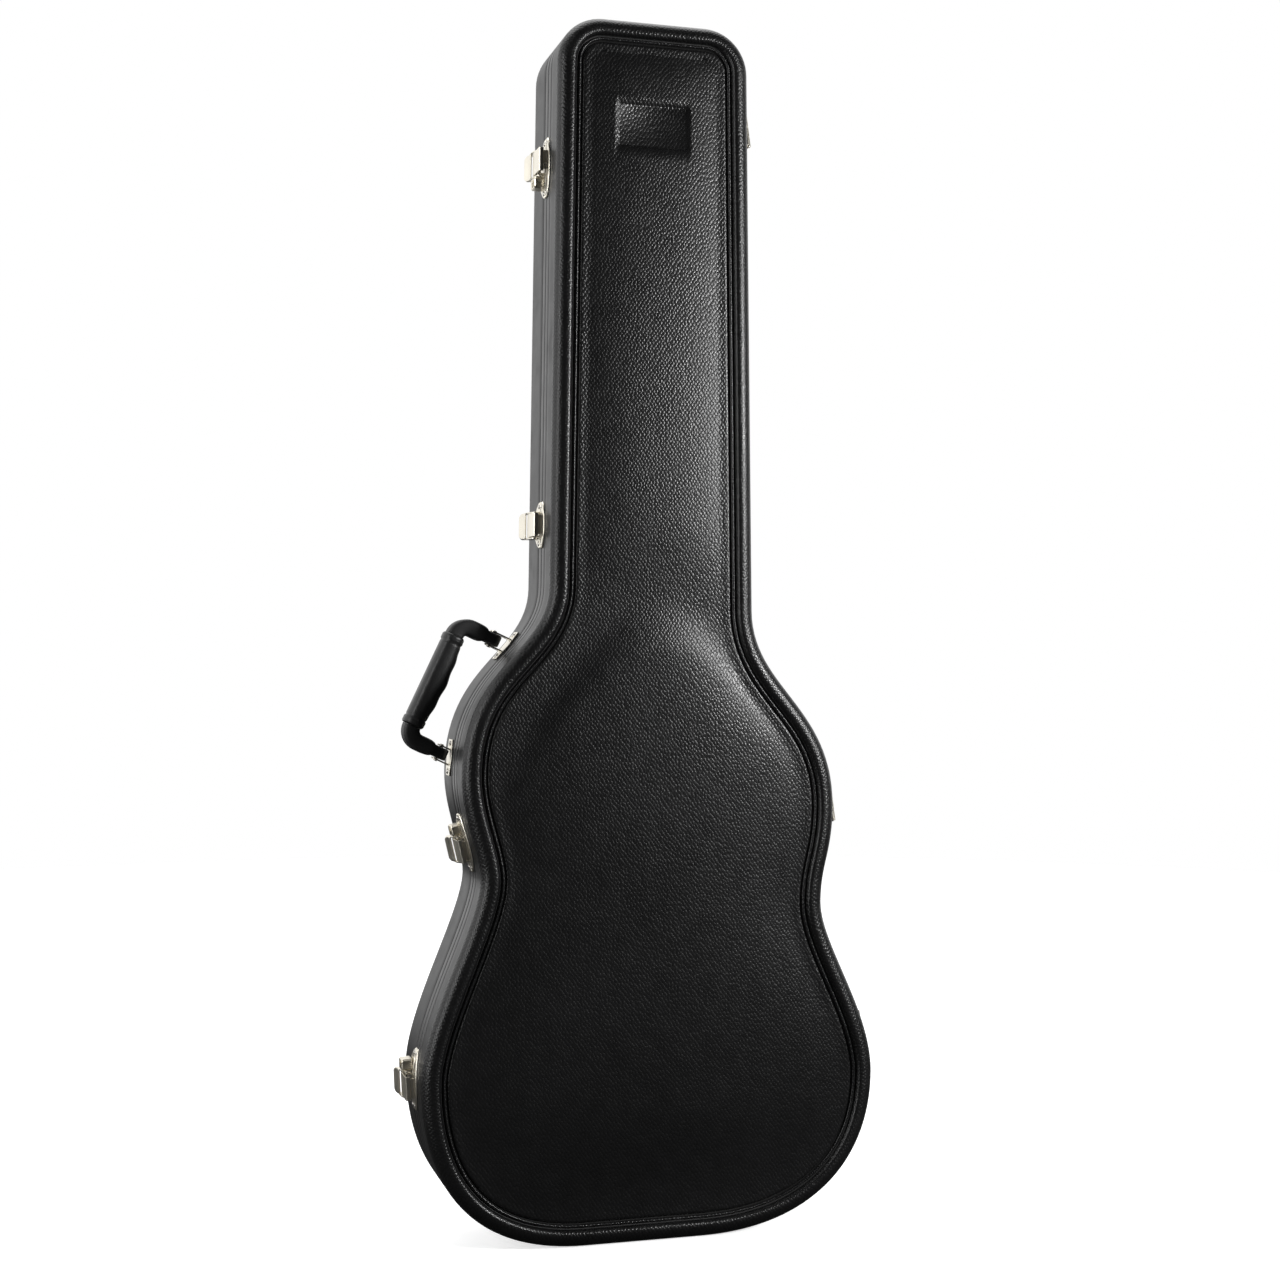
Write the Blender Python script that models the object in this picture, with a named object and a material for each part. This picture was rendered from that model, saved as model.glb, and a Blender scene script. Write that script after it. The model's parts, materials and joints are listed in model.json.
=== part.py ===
# Moulded hard-shell case for an electric guitar, standing upright on its butt end.
# Frame: +Z up along the case, the lid faces -Y, the hinges are on the +X side and
# the latches and the handle on the -X side. The origin is on the underside of the
# base shell, which is the face the case stands on. Metres.
import math
import bpy
import bmesh
from mathutils import Vector, Matrix

for _o in list(bpy.data.objects):
    bpy.data.objects.remove(_o, do_unlink=True)

# ------------------------------------------------------------------ sizes
LENGTH = 1.070            # butt end to head end
FRONT_Y = -0.056          # crest of the lid's rim
BACK_Y = 0.056            # flat back of the base
SEAM_Y = -0.014           # plane where lid and base meet
WALL = 0.003              # moulded shell wall
GAP = 0.0003              # between pieces that touch
RIM_ROLL = 0.011          # outer radius of the lid's rim roll
BACK_ROLL = 0.022         # radius between the base's side and its back

# outline, one side each: (half width, height) and handle lengths of smooth curves
NECK_HALF = 0.0928        # half width where the neck part starts
NECK_TAPER = 0.0125       # narrowing per metre towards the head
HEAD_CORNER = 0.040       # radius of the head end's corners
RIGHT = {"foot": 0.046, "foot_h": 0.110, "lower": (0.2080, 0.1375), "lower_h": (0.077, 0.0555),
         "waist": (0.1590, 0.2915), "waist_h": (0.037, 0.034), "upper": (0.1705, 0.3785),
         "upper_h": (0.042, 0.090), "neck_z": 0.5530, "neck_h": 0.0687}
LEFT = {"foot": 0.060, "foot_h": 0.108, "lower": (0.2035, 0.1480), "lower_h": (0.078, 0.0500),
        "waist": (0.1525, 0.3190), "waist_h": (0.035, 0.022), "upper": (0.1695, 0.4085),
        "upper_h": (0.035, 0.098), "neck_z": 0.5740, "neck_h": 0.0600}
NECK_REF_Z = 0.553

VALANCE = 0.011           # visible height of each valance
FLANGE = 0.020            # how far a valance's flange runs up inside the shell
LINER_CLEAR = 0.0068      # liner outside, from the shell outside
TRAY_WALL = 0.022         # padded wall of the base, from the shell's outside
TRAY_FLOOR = BACK_Y - 0.016
DOME_BODY = 0.0055        # rise of the body panel
DOME_NECK = 0.0012        # pillow of the neck panel

HINGE_OUT = 0.0056        # hinge axis outside the wall
HINGE_LEN = 0.048
HINGE_Z = (("lower", 0.162), ("upper", 0.385), ("head", 1.000))
KNUCKLE_R = 0.0028
PIN_R = 0.0012

LATCH_Z = (0.9500, 0.6280, 0.3440, 0.1400)      # middle of each latch's lever
LATCH_LOCK = (-1, 0, 1, 1)                       # side its key lock stands on
LEVER_W = 0.024
LEVER_PIVOT = (0.0075, 0.0050)                   # behind the seam, off the wall
HOOK_PIVOT = (0.0160, 0.0075)

GRIP_MID = (-0.1840, 0.4909)                     # middle of the grip, x and z
GRIP_DIR = (0.4262, 0.9046)                      # along the grip
GRIP_LEN = 0.0874
HANDLE_Y = 0.012
LEG_TOP = 0.0555                                 # legs' places along the grip
LEG_BOTTOM = -0.0555

FLAP_W = 0.054
FLAP_Y = 0.014
BOX_Z = (0.715, 0.905)


# ------------------------------------------------------------------ materials
def make_material(name, color, rough, metal):
    m = bpy.data.materials.new(name)
    m.use_nodes = True
    b = m.node_tree.nodes["Principled BSDF"]
    b.inputs["Base Color"].default_value = (color[0], color[1], color[2], 1.0)
    b.inputs["Roughness"].default_value = rough
    b.inputs["Metallic"].default_value = metal
    m.diffuse_color = (color[0], color[1], color[2], 1.0)
    return m


PALETTE = {
    "shell": ((0.020, 0.020, 0.021), 0.42, 0.0),
    "valance": ((0.045, 0.045, 0.048), 0.38, 0.0),
    "hardware": ((0.72, 0.66, 0.52), 0.28, 1.0),
    "pin": ((0.45, 0.43, 0.40), 0.30, 1.0),
    "grip": ((0.018, 0.018, 0.019), 0.45, 0.0),
    "strap": ((0.012, 0.012, 0.012), 0.70, 0.0),
    "plush": ((0.030, 0.030, 0.034), 0.95, 0.0),
    "tab": ((0.025, 0.025, 0.025), 0.80, 0.0),
}


def finish(ob, slot, smooth=40.0):
    color, rough, metal = PALETTE[slot]
    ob.data.materials.clear()
    ob.data.materials.append(make_material(slot + "_" + ob.name, color, rough, metal))
    if smooth:
        ob.data.shade_smooth()
        ob.data.set_sharp_from_angle(angle=math.radians(smooth))
    return ob


def new_object(name, bm, slot, origin=None, smooth=40.0):
    bmesh.ops.recalc_face_normals(bm, faces=bm.faces)
    me = bpy.data.meshes.new(name)
    if origin is not None:
        bmesh.ops.translate(bm, verts=bm.verts, vec=-Vector(origin))
    bm.to_mesh(me)
    bm.free()
    ob = bpy.data.objects.new(name, me)
    bpy.context.scene.collection.objects.link(ob)
    if origin is not None:
        ob.location = Vector(origin)
    return finish(ob, slot, smooth)


# ------------------------------------------------------------------ outline
def bez(p, q, r, s, t):
    a = 1.0 - t
    x = a**3 * p[0] + 3 * a * a * t * q[0] + 3 * a * t * t * r[0] + t**3 * s[0]
    z = a**3 * p[1] + 3 * a * a * t * q[1] + 3 * a * t * t * r[1] + t**3 * s[1]
    dx = 3 * a * a * (q[0] - p[0]) + 6 * a * t * (r[0] - q[0]) + 3 * t * t * (s[0] - r[0])
    dz = 3 * a * a * (q[1] - p[1]) + 6 * a * t * (r[1] - q[1]) + 3 * t * t * (s[1] - r[1])
    n = math.hypot(dx, dz)
    return (x, z, dx / n, dz / n)


def neck_x(z):
    return NECK_HALF - NECK_TAPER * (z - NECK_REF_Z)


def half(side, counts):
    """Points (x, z, tangent x, tangent z) of one side, from the foot to the head."""
    lx, lz = side["lower"]
    wx, wz = side["waist"]
    ux, uz = side["upper"]
    nz = side["neck_z"]
    nx = neck_x(nz)
    tz = LENGTH - HEAD_CORNER
    tx = neck_x(tz)
    k = math.hypot(NECK_TAPER, 1.0)
    down = (NECK_TAPER / k * side["neck_h"], -1.0 / k * side["neck_h"])
    segs = [
        ((side["foot"], 0.0), (side["foot"] + side["foot_h"], 0.0),
         (lx, lz - side["lower_h"][0]), (lx, lz)),
        ((lx, lz), (lx, lz + side["lower_h"][1]), (wx, wz - side["waist_h"][0]), (wx, wz)),
        ((wx, wz), (wx, wz + side["waist_h"][1]), (ux, uz - side["upper_h"][0]), (ux, uz)),
        ((ux, uz), (ux, uz + side["upper_h"][1]), (nx + down[0], nz + down[1]), (nx, nz)),
        ((nx, nz), (nx + (tx - nx) / 3, nz + (tz - nz) / 3),
         (nx + (tx - nx) * 2 / 3, nz + (tz - nz) * 2 / 3), (tx, tz)),
    ]
    pts = [(side["foot"], 0.0, 1.0, 0.0)]
    for seg, n in zip(segs, counts):
        for i in range(1, n + 1):
            pts.append(bez(*seg, i / n))
    n = counts[5]
    for i in range(1, n + 1):
        a = math.pi / 2 * i / n
        pts.append((tx - HEAD_CORNER + HEAD_CORNER * math.cos(a), tz + HEAD_CORNER * math.sin(a),
                    -math.sin(a), math.cos(a)))
    return pts


COLS = 4


def loop(counts, cols=COLS):
    """The closed outline as (x, z, outward x, outward z), and how its rows pair up."""
    r = half(RIGHT, counts)
    l = half(LEFT, counts)
    n = len(r)
    pts = [(x, z, tz, -tx) for x, z, tx, tz in r]
    for j in range(1, cols):
        u = j / cols
        pts.append((r[-1][0] * (1 - u) - l[-1][0] * u, LENGTH, 0.0, 1.0))
    pts += [(-x, z, -tz, -tx) for x, z, tx, tz in reversed(l)]
    for j in range(1, cols):
        u = j / cols
        pts.append((-l[0][0] * (1 - u) + r[0][0] * u, 0.0, 0.0, -1.0))
    return pts, n


FINE = (10, 7, 6, 8, 1, 3)
COARSE = (6, 4, 4, 6, 1, 2)


def step(a, b, v):
    t = max(0.0, min(1.0, (v - a) / (b - a)))
    return t * t * (3 - 2 * t)


def dome(u, z):
    amp = DOME_NECK + (DOME_BODY - DOME_NECK) * (1.0 - step(0.490, 0.600, z))
    ends = step(0.03, 0.13, z) * (1.0 - step(LENGTH - 0.05, LENGTH - 0.02, z))
    return amp * ends * (1.0 - abs(2 * u - 1) ** 2.4)


def ring_body(bm, counts, profile, cols=COLS):
    """A ring following the outline; profile is a closed list of (inset, y)."""
    pts, _ = loop(counts, cols)
    rings = []
    for d, y in profile:
        rings.append([bm.verts.new((x - d * nx, y, z - d * nz)) for x, z, nx, nz in pts])
    m = len(pts)
    k = len(rings)
    for a in range(k):
        b = (a + 1) % k
        for i in range(m):
            j = (i + 1) % m
            bm.faces.new((rings[a][i], rings[a][j], rings[b][j], rings[b][i]))


def tray_body(bm, counts, outer, inner, dome_out, dome_in, cols=COLS):
    """A tray following the outline: an outer skin and an inner skin of (inset, y) rings,
    joined at their first rings and each closed by a panel after its last one."""
    pts, n = loop(counts, cols)
    m = len(pts)

    def skin(profile, lift):
        rings = []
        for d, y in profile:
            rings.append([bm.verts.new((x - d * nx, y, z - d * nz)) for x, z, nx, nz in pts])
        for a in range(len(rings) - 1):
            for i in range(m):
                j = (i + 1) % m
                bm.faces.new((rings[a][i], rings[a][j], rings[a + 1][j], rings[a + 1][i]))
        last = rings[-1]
        right = last[:n]
        top = last[n:n + cols - 1]
        left = list(reversed(last[n + cols - 1:2 * n + cols - 1]))
        bottom = list(reversed(last[2 * n + cols - 1:]))
        y0 = profile[-1][1]
        rows = []
        for i in range(n):
            if i == 0:
                mid = bottom
            elif i == n - 1:
                mid = top
            else:
                mid = []
                for j in range(1, cols):
                    u = j / cols
                    p = right[i].co.lerp(left[i].co, u)
                    mid.append(bm.verts.new((p.x, y0 + lift(u, p.z), p.z)))
            rows.append([right[i]] + mid + [left[i]])
        for i in range(n - 1):
            for j in range(cols):
                bm.faces.new((rows[i][j], rows[i][j + 1], rows[i + 1][j + 1], rows[i + 1][j]))
        return rings[0]

    a = skin(outer, dome_out)
    b = skin(inner, dome_in)
    for i in range(m):
        j = (i + 1) % m
        bm.faces.new((a[i], a[j], b[j], b[i]))


# polyline of each side as the shells have it, for placing hardware on the walls
def dense(side, sign):
    return [Vector((sign * x, 0.0, z)) for x, z, _, _ in half(side, FINE)]


RIGHT_LINE = dense(RIGHT, 1.0)
LEFT_LINE = dense(LEFT, -1.0)


def wall_height(line, at, along, out):
    """Height of the wall over a straight reference line, as a function of the place along it."""
    pts = sorted(((p - at).dot(along), (p - at).dot(out)) for p in line
                 if abs((p - at).dot(along)) < 0.12 and abs((p - at).dot(out)) < 0.10)

    def f(s):
        for (s0, h0), (s1, h1) in zip(pts, pts[1:]):
            if s0 <= s <= s1:
                return h0 + (h1 - h0) * (s - s0) / max(1e-9, s1 - s0)
        return pts[0][1] if s < pts[0][0] else pts[-1][1]
    f.nodes = [s for s, _ in pts]
    return f


def stations(wall, lo, hi, k):
    """Evenly spread places from lo to hi, with the wall's own corners among them."""
    keep = [s for s in wall.nodes if lo + 0.0012 < s < hi - 0.0012]
    even = [lo + (hi - lo) * i / k for i in range(k + 1)]
    even = [s for i, s in enumerate(even) if i in (0, k) or all(abs(s - c) > 0.0020 for c in keep)]
    return sorted(keep + even)


class Frame:
    """Local frame on a wall: s along it, y front to back, h outwards."""

    def __init__(self, at, along, out):
        self.at, self.along, self.out = Vector(at), Vector(along).normalized(), Vector(out).normalized()

    def __call__(self, s, y, h):
        p = self.at + self.along * s + self.out * h
        return Vector((p.x, y, p.z))


def extrude_profile(bm, frame, profile, s0, s1):
    """A closed (y, h) profile pushed along the wall from s0 to s1."""
    a = [bm.verts.new(frame(s0, y, h)) for y, h in profile]
    f = bm.faces.new(a)
    res = bmesh.ops.extrude_face_region(bm, geom=[f])
    v = [g for g in res["geom"] if isinstance(g, bmesh.types.BMVert)]
    shift = frame(s1, 0, 0) - frame(s0, 0, 0)
    bmesh.ops.translate(bm, verts=v, vec=shift)


def loft(bm, sections):
    rings = [[bm.verts.new(p) for p in sec] for sec in sections]
    m = len(rings[0])
    for a, b in zip(rings, rings[1:]):
        for i in range(m):
            j = (i + 1) % m
            bm.faces.new((a[i], a[j], b[j], b[i]))
    bm.faces.new(list(reversed(rings[0])))
    bm.faces.new(rings[-1])


def rod(bm, a, b, r, seg=10, turn=0.0):
    a, b = Vector(a), Vector(b)
    d = (b - a)
    rot = d.to_track_quat("Z", "Y").to_matrix().to_4x4()
    mat = Matrix.Translation((a + b) / 2) @ rot @ Matrix.Rotation(turn, 4, "Z")
    bmesh.ops.create_cone(bm, cap_ends=True, segments=seg, radius1=r, radius2=r,
                          depth=d.length, matrix=mat)


def solid(name, build, cutter=False):
    bm = bmesh.new()
    build(bm)
    bmesh.ops.recalc_face_normals(bm, faces=bm.faces)
    me = bpy.data.meshes.new(name)
    bm.to_mesh(me)
    bm.free()
    ob = bpy.data.objects.new(name, me)
    bpy.context.scene.collection.objects.link(ob)
    if cutter:
        ob.hide_render = True
        ob.display_type = "WIRE"
    return ob


def combine(name, first, steps, slot, origin=None, smooth=40.0):
    """Unions and cuts applied in order, then the helper solids are removed."""
    ob = solid(name, first)
    helpers = []
    for kind, build in steps:
        h = solid(name + "_tool", build, True)
        helpers.append(h)
        m = ob.modifiers.new(kind, "BOOLEAN")
        m.operation = kind
        m.solver = "EXACT"
        m.object = h
    dg = bpy.context.evaluated_depsgraph_get()
    me = bpy.data.meshes.new_from_object(ob.evaluated_get(dg))
    bpy.data.objects.remove(ob, do_unlink=True)
    for h in helpers:
        bpy.data.objects.remove(h, do_unlink=True)
    bm = bmesh.new()
    bm.from_mesh(me)
    bpy.data.meshes.remove(me)
    bmesh.ops.remove_doubles(bm, verts=bm.verts, dist=0.00002)
    bmesh.ops.dissolve_degenerate(bm, dist=0.00001, edges=bm.edges)
    bmesh.ops.dissolve_limit(bm, angle_limit=math.radians(0.5), verts=bm.verts, edges=bm.edges)
    return new_object(name, bm, slot, origin, smooth)


def box(bm, frame, s, y, h):
    v = []
    for hh in h:
        for yy, ss in ((y[0], s[0]), (y[0], s[1]), (y[1], s[1]), (y[1], s[0])):
            v.append(bm.verts.new(frame(ss, yy, hh)))
    for q in ((0, 1, 2, 3), (4, 5, 6, 7), (0, 1, 5, 4), (1, 2, 6, 5), (2, 3, 7, 6), (3, 0, 4, 7)):
        bm.faces.new([v[i] for i in q])


# ------------------------------------------------------------------ shells
F = FRONT_Y
lid_edge = SEAM_Y - VALANCE - GAP
base_edge = SEAM_Y + VALANCE + GAP

bm = bmesh.new()
tray_body(bm, FINE,
          [(0.0, lid_edge), (0.0, F + RIM_ROLL), (0.0032, F + 0.0032), (0.0110, F),
           (0.0180, F + 0.0036), (0.0215, F + 0.0050), (0.0300, F + 0.0030)],
          [(WALL, lid_edge), (WALL, F + RIM_ROLL), (0.0110, F + WALL),
           (0.0185, F + 0.0072), (0.0300, F + 0.0062)],
          lambda u, z: -dome(u, z), lambda u, z: -dome(u, z))
new_object("lid_shell", bm, "shell")

bm = bmesh.new()
r = BACK_ROLL
tray_body(bm, FINE,
          [(0.0, base_edge), (0.0, BACK_Y - r), (r * 0.2929, BACK_Y - r * 0.2929), (r, BACK_Y)],
          [(WALL, base_edge), (WALL, BACK_Y - r), (r * 0.36, BACK_Y - r * 0.36), (r, BACK_Y - WALL)],
          lambda u, z: 0.0, lambda u, z: 0.0)
new_object("base_shell", bm, "shell")

bm = bmesh.new()
ring_body(bm, FINE, [(0.0, SEAM_Y - 0.0004), (0.0, SEAM_Y - VALANCE), (WALL + GAP, SEAM_Y - VALANCE),
                     (WALL + GAP, SEAM_Y - FLANGE), (0.0052, SEAM_Y - FLANGE),
                     (0.0052, SEAM_Y - 0.0004), (0.0044, SEAM_Y - 0.0004),
                     (0.0044, SEAM_Y - 0.0040), (0.0014, SEAM_Y - 0.0040),
                     (0.0014, SEAM_Y - 0.0004)])
new_object("lid_valance", bm, "valance")

bm = bmesh.new()
ring_body(bm, FINE, [(0.0, SEAM_Y + 0.0004), (0.0, SEAM_Y + VALANCE), (WALL + GAP, SEAM_Y + VALANCE),
                     (WALL + GAP, SEAM_Y + FLANGE), (0.0052, SEAM_Y + FLANGE),
                     (0.0052, SEAM_Y + 0.0004), (0.0034, SEAM_Y + 0.0004),
                     (0.0034, SEAM_Y - 0.0026), (0.0022, SEAM_Y - 0.0026),
                     (0.0022, SEAM_Y + 0.0004)])
new_object("base_valance", bm, "valance")

# ------------------------------------------------------------------ linings
bm = bmesh.new()
tray_body(bm, COARSE,
          [(LINER_CLEAR, SEAM_Y + 0.0020), (LINER_CLEAR, BACK_Y - 0.0230), (0.0190, BACK_Y - 0.0065),
           (0.0260, BACK_Y - WALL - 0.0007)],
          [(TRAY_WALL - 0.004, SEAM_Y + 0.0020), (TRAY_WALL, SEAM_Y + 0.0080), (TRAY_WALL + 0.002, TRAY_FLOOR)],
          lambda u, z: 0.0, lambda u, z: 0.0, 2)
new_object("base_liner", bm, "plush")

bm = bmesh.new()
tray_body(bm, COARSE,
          [(LINER_CLEAR, SEAM_Y - 0.0040), (LINER_CLEAR, F + 0.0150), (0.0160, F + 0.0080)],
          [(0.0150, SEAM_Y - 0.0040), (0.0170, F + 0.0130)],
          lambda u, z: 0.0, lambda u, z: 0.0, 2)
new_object("lid_liner", bm, "plush")

# neck cradle: a padded block across the neck channel with a notch for the neck
CZ = (0.655, 0.695)
cw = neck_x(CZ[1]) - TRAY_WALL - 0.0035
flat = Frame((0, 0, 0), (1, 0, 0), (0, 0, 1))
y_in = SEAM_Y + 0.004
fy = TRAY_FLOOR - GAP
bm = bmesh.new()
prof = [(-cw, fy), (cw, fy), (cw, y_in), (0.036, y_in), (0.030, y_in + 0.010),
        (0.022, 0.0140), (-0.022, 0.0140), (-0.030, y_in + 0.010), (-0.036, y_in), (-cw, y_in)]
v = [bm.verts.new((x, y, CZ[0])) for x, y in prof]
f = bm.faces.new(v)
res = bmesh.ops.extrude_face_region(bm, geom=[f])
bmesh.ops.translate(bm, verts=[g for g in res["geom"] if isinstance(g, bmesh.types.BMVert)],
                    vec=(0, 0, CZ[1] - CZ[0]))
new_object("neck_cradle", bm, "plush")

# accessory compartment under the neck, its flap and the flap's pull tab
bw = FLAP_W / 2 + 0.004
bt = 0.003
ins = 0.0040


def comp_outer(bm):
    box(bm, flat, (-bw, bw), (FLAP_Y + 0.0012, fy), BOX_Z)


def comp_inner(bm):
    box(bm, flat, (-bw + bt, bw - bt), (FLAP_Y - 0.01, fy - bt), (BOX_Z[0] + bt, BOX_Z[1] - bt))


combine("accessory_box", comp_outer, [("DIFFERENCE", comp_inner)], "plush")

hx = -FLAP_W / 2 - 0.0006
flap_axis = (hx, FLAP_Y, (BOX_Z[0] + BOX_Z[1]) / 2)
bm = bmesh.new()
ft = 0.0016
prof = [(hx, FLAP_Y - ft / 2)]
prof = [(hx + 0.0009 * math.cos(a), FLAP_Y + 0.0009 * math.sin(a))
        for a in (math.radians(t) for t in (80, 120, 160, 200, 240, 280))]
prof += [(hx + FLAP_W, FLAP_Y - 0.0009), (hx + FLAP_W, FLAP_Y + 0.0008)]
v = [bm.verts.new((x, y, BOX_Z[0] + 0.004)) for x, y in prof]
f = bm.faces.new(v)
res = bmesh.ops.extrude_face_region(bm, geom=[f])
bmesh.ops.translate(bm, verts=[g for g in res["geom"] if isinstance(g, bmesh.types.BMVert)],
                    vec=(0, 0, BOX_Z[1] - BOX_Z[0] - 0.008))
new_object("accessory_flap", bm, "plush", flap_axis)

bm = bmesh.new()
tz = flap_axis[2]
tx0 = hx + FLAP_W - 0.016
prof = [(tx0, FLAP_Y - 0.0012), (tx0 + 0.0150, FLAP_Y - 0.0012), (tx0 + 0.0150, FLAP_Y - 0.0034),
        (tx0 + 0.0090, FLAP_Y - 0.0062), (tx0 + 0.0040, FLAP_Y - 0.0052), (tx0, FLAP_Y - 0.0030)]
v = [bm.verts.new((x, y, tz - 0.009)) for x, y in prof]
f = bm.faces.new(v)
res = bmesh.ops.extrude_face_region(bm, geom=[f])
bmesh.ops.translate(bm, verts=[g for g in res["geom"] if isinstance(g, bmesh.types.BMVert)],
                    vec=(0, 0, 0.018))
new_object("flap_tab", bm, "tab", flap_axis)


# ------------------------------------------------------------------ hinges
def tangent_line():
    """Straight line that touches the lower bout and the head corner on the hinge side."""
    low = [p for p in RIGHT_LINE if p.z < 0.29]
    high = [p for p in RIGHT_LINE if p.z >= 0.29]
    a, b = 0.0, math.radians(30)
    for _ in range(60):
        t = (a + b) / 2
        m = Vector((math.cos(t), 0.0, math.sin(t)))
        if max(p.dot(m) for p in low) > max(p.dot(m) for p in high):
            a = t
        else:
            b = t
    m = Vector((math.cos(a), 0.0, math.sin(a)))
    return m, max(low, key=lambda p: p.dot(m)), max(high, key=lambda p: p.dot(m))


HOUT, H_LOW, H_HIGH = tangent_line()
HALONG = Vector((-HOUT.z, 0.0, HOUT.x))


def hinge(tag, z):
    axis_pt = H_LOW + HOUT * HINGE_OUT
    axis_pt = axis_pt + HALONG * ((z - axis_pt.z) / HALONG.z)
    fr = Frame(axis_pt, HALONG, HOUT)
    wall = wall_height(RIGHT_LINE, axis_pt, HALONG, HOUT)
    half_len = HINGE_LEN / 2
    pitch = HINGE_LEN / 5
    origin = fr(0, SEAM_Y, 0)

    def leaf(sign, own):
        def plate(bm):
            secs = []
            for s in stations(wall, -half_len, half_len, 4):
                w = wall(s)
                prof = [(-0.0031, 0.0006), (w + GAP, 0.0006), (w + GAP, 0.0150),
                        (w + 0.0017, 0.0150), (w + 0.0017, 0.0021), (-0.0031, 0.0021)]
                secs.append([fr(s, SEAM_Y + sign * y, h) for h, y in prof])
            loft(bm, secs)

        steps = []
        for k in own:
            s0 = -half_len + pitch * k + 0.00025
            s1 = s0 + pitch - 0.0005

            def knuckle(bm, s0=s0, s1=s1):
                rod(bm, fr(s0, SEAM_Y, 0), fr(s1, SEAM_Y, 0), KNUCKLE_R, 14)

            def web(bm, s0=s0, s1=s1):
                box(bm, fr, (s0 + 0.0002, s1 - 0.0002), (SEAM_Y + sign * 0.0008, SEAM_Y + sign * 0.0018), (-0.0037, -0.0017))
            steps += [("UNION", web), ("UNION", knuckle)]

        def bore(bm):
            rod(bm, fr(-0.04, SEAM_Y, 0), fr(0.04, SEAM_Y, 0), PIN_R + GAP, 12)
        steps.append(("DIFFERENCE", bore))
        return plate, steps

    p, st = leaf(1, (0, 2, 4))
    combine("hinge_%s_base_leaf" % tag, p, st, "hardware", origin)
    p, st = leaf(-1, (1, 3))
    combine("hinge_%s_lid_leaf" % tag, p, st, "hardware", origin)
    bm = bmesh.new()
    rod(bm, fr(-half_len - 0.0006, SEAM_Y, 0), fr(half_len + 0.0006, SEAM_Y, 0), PIN_R, 12)
    new_object("hinge_%s_pin" % tag, bm, "pin", origin)


for tag, z in HINGE_Z:
    hinge(tag, z)


# ------------------------------------------------------------------ latches
def left_frame(z):
    for p, q in zip(LEFT_LINE, LEFT_LINE[1:]):
        if p.z <= z <= q.z:
            t = (z - p.z) / (q.z - p.z)
            along = (q - p).normalized()
            return Frame(p.lerp(q, t), along, (-along.z, 0.0, along.x))
    raise ValueError("height off the outline")


PX, PH = SEAM_Y + LEVER_PIVOT[0], LEVER_PIVOT[1]
HX, HH = SEAM_Y + HOOK_PIVOT[0], HOOK_PIVOT[1]
HALF_W = LEVER_W / 2
CHEEK = 0.0012
LOCK_W = 0.0115


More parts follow.
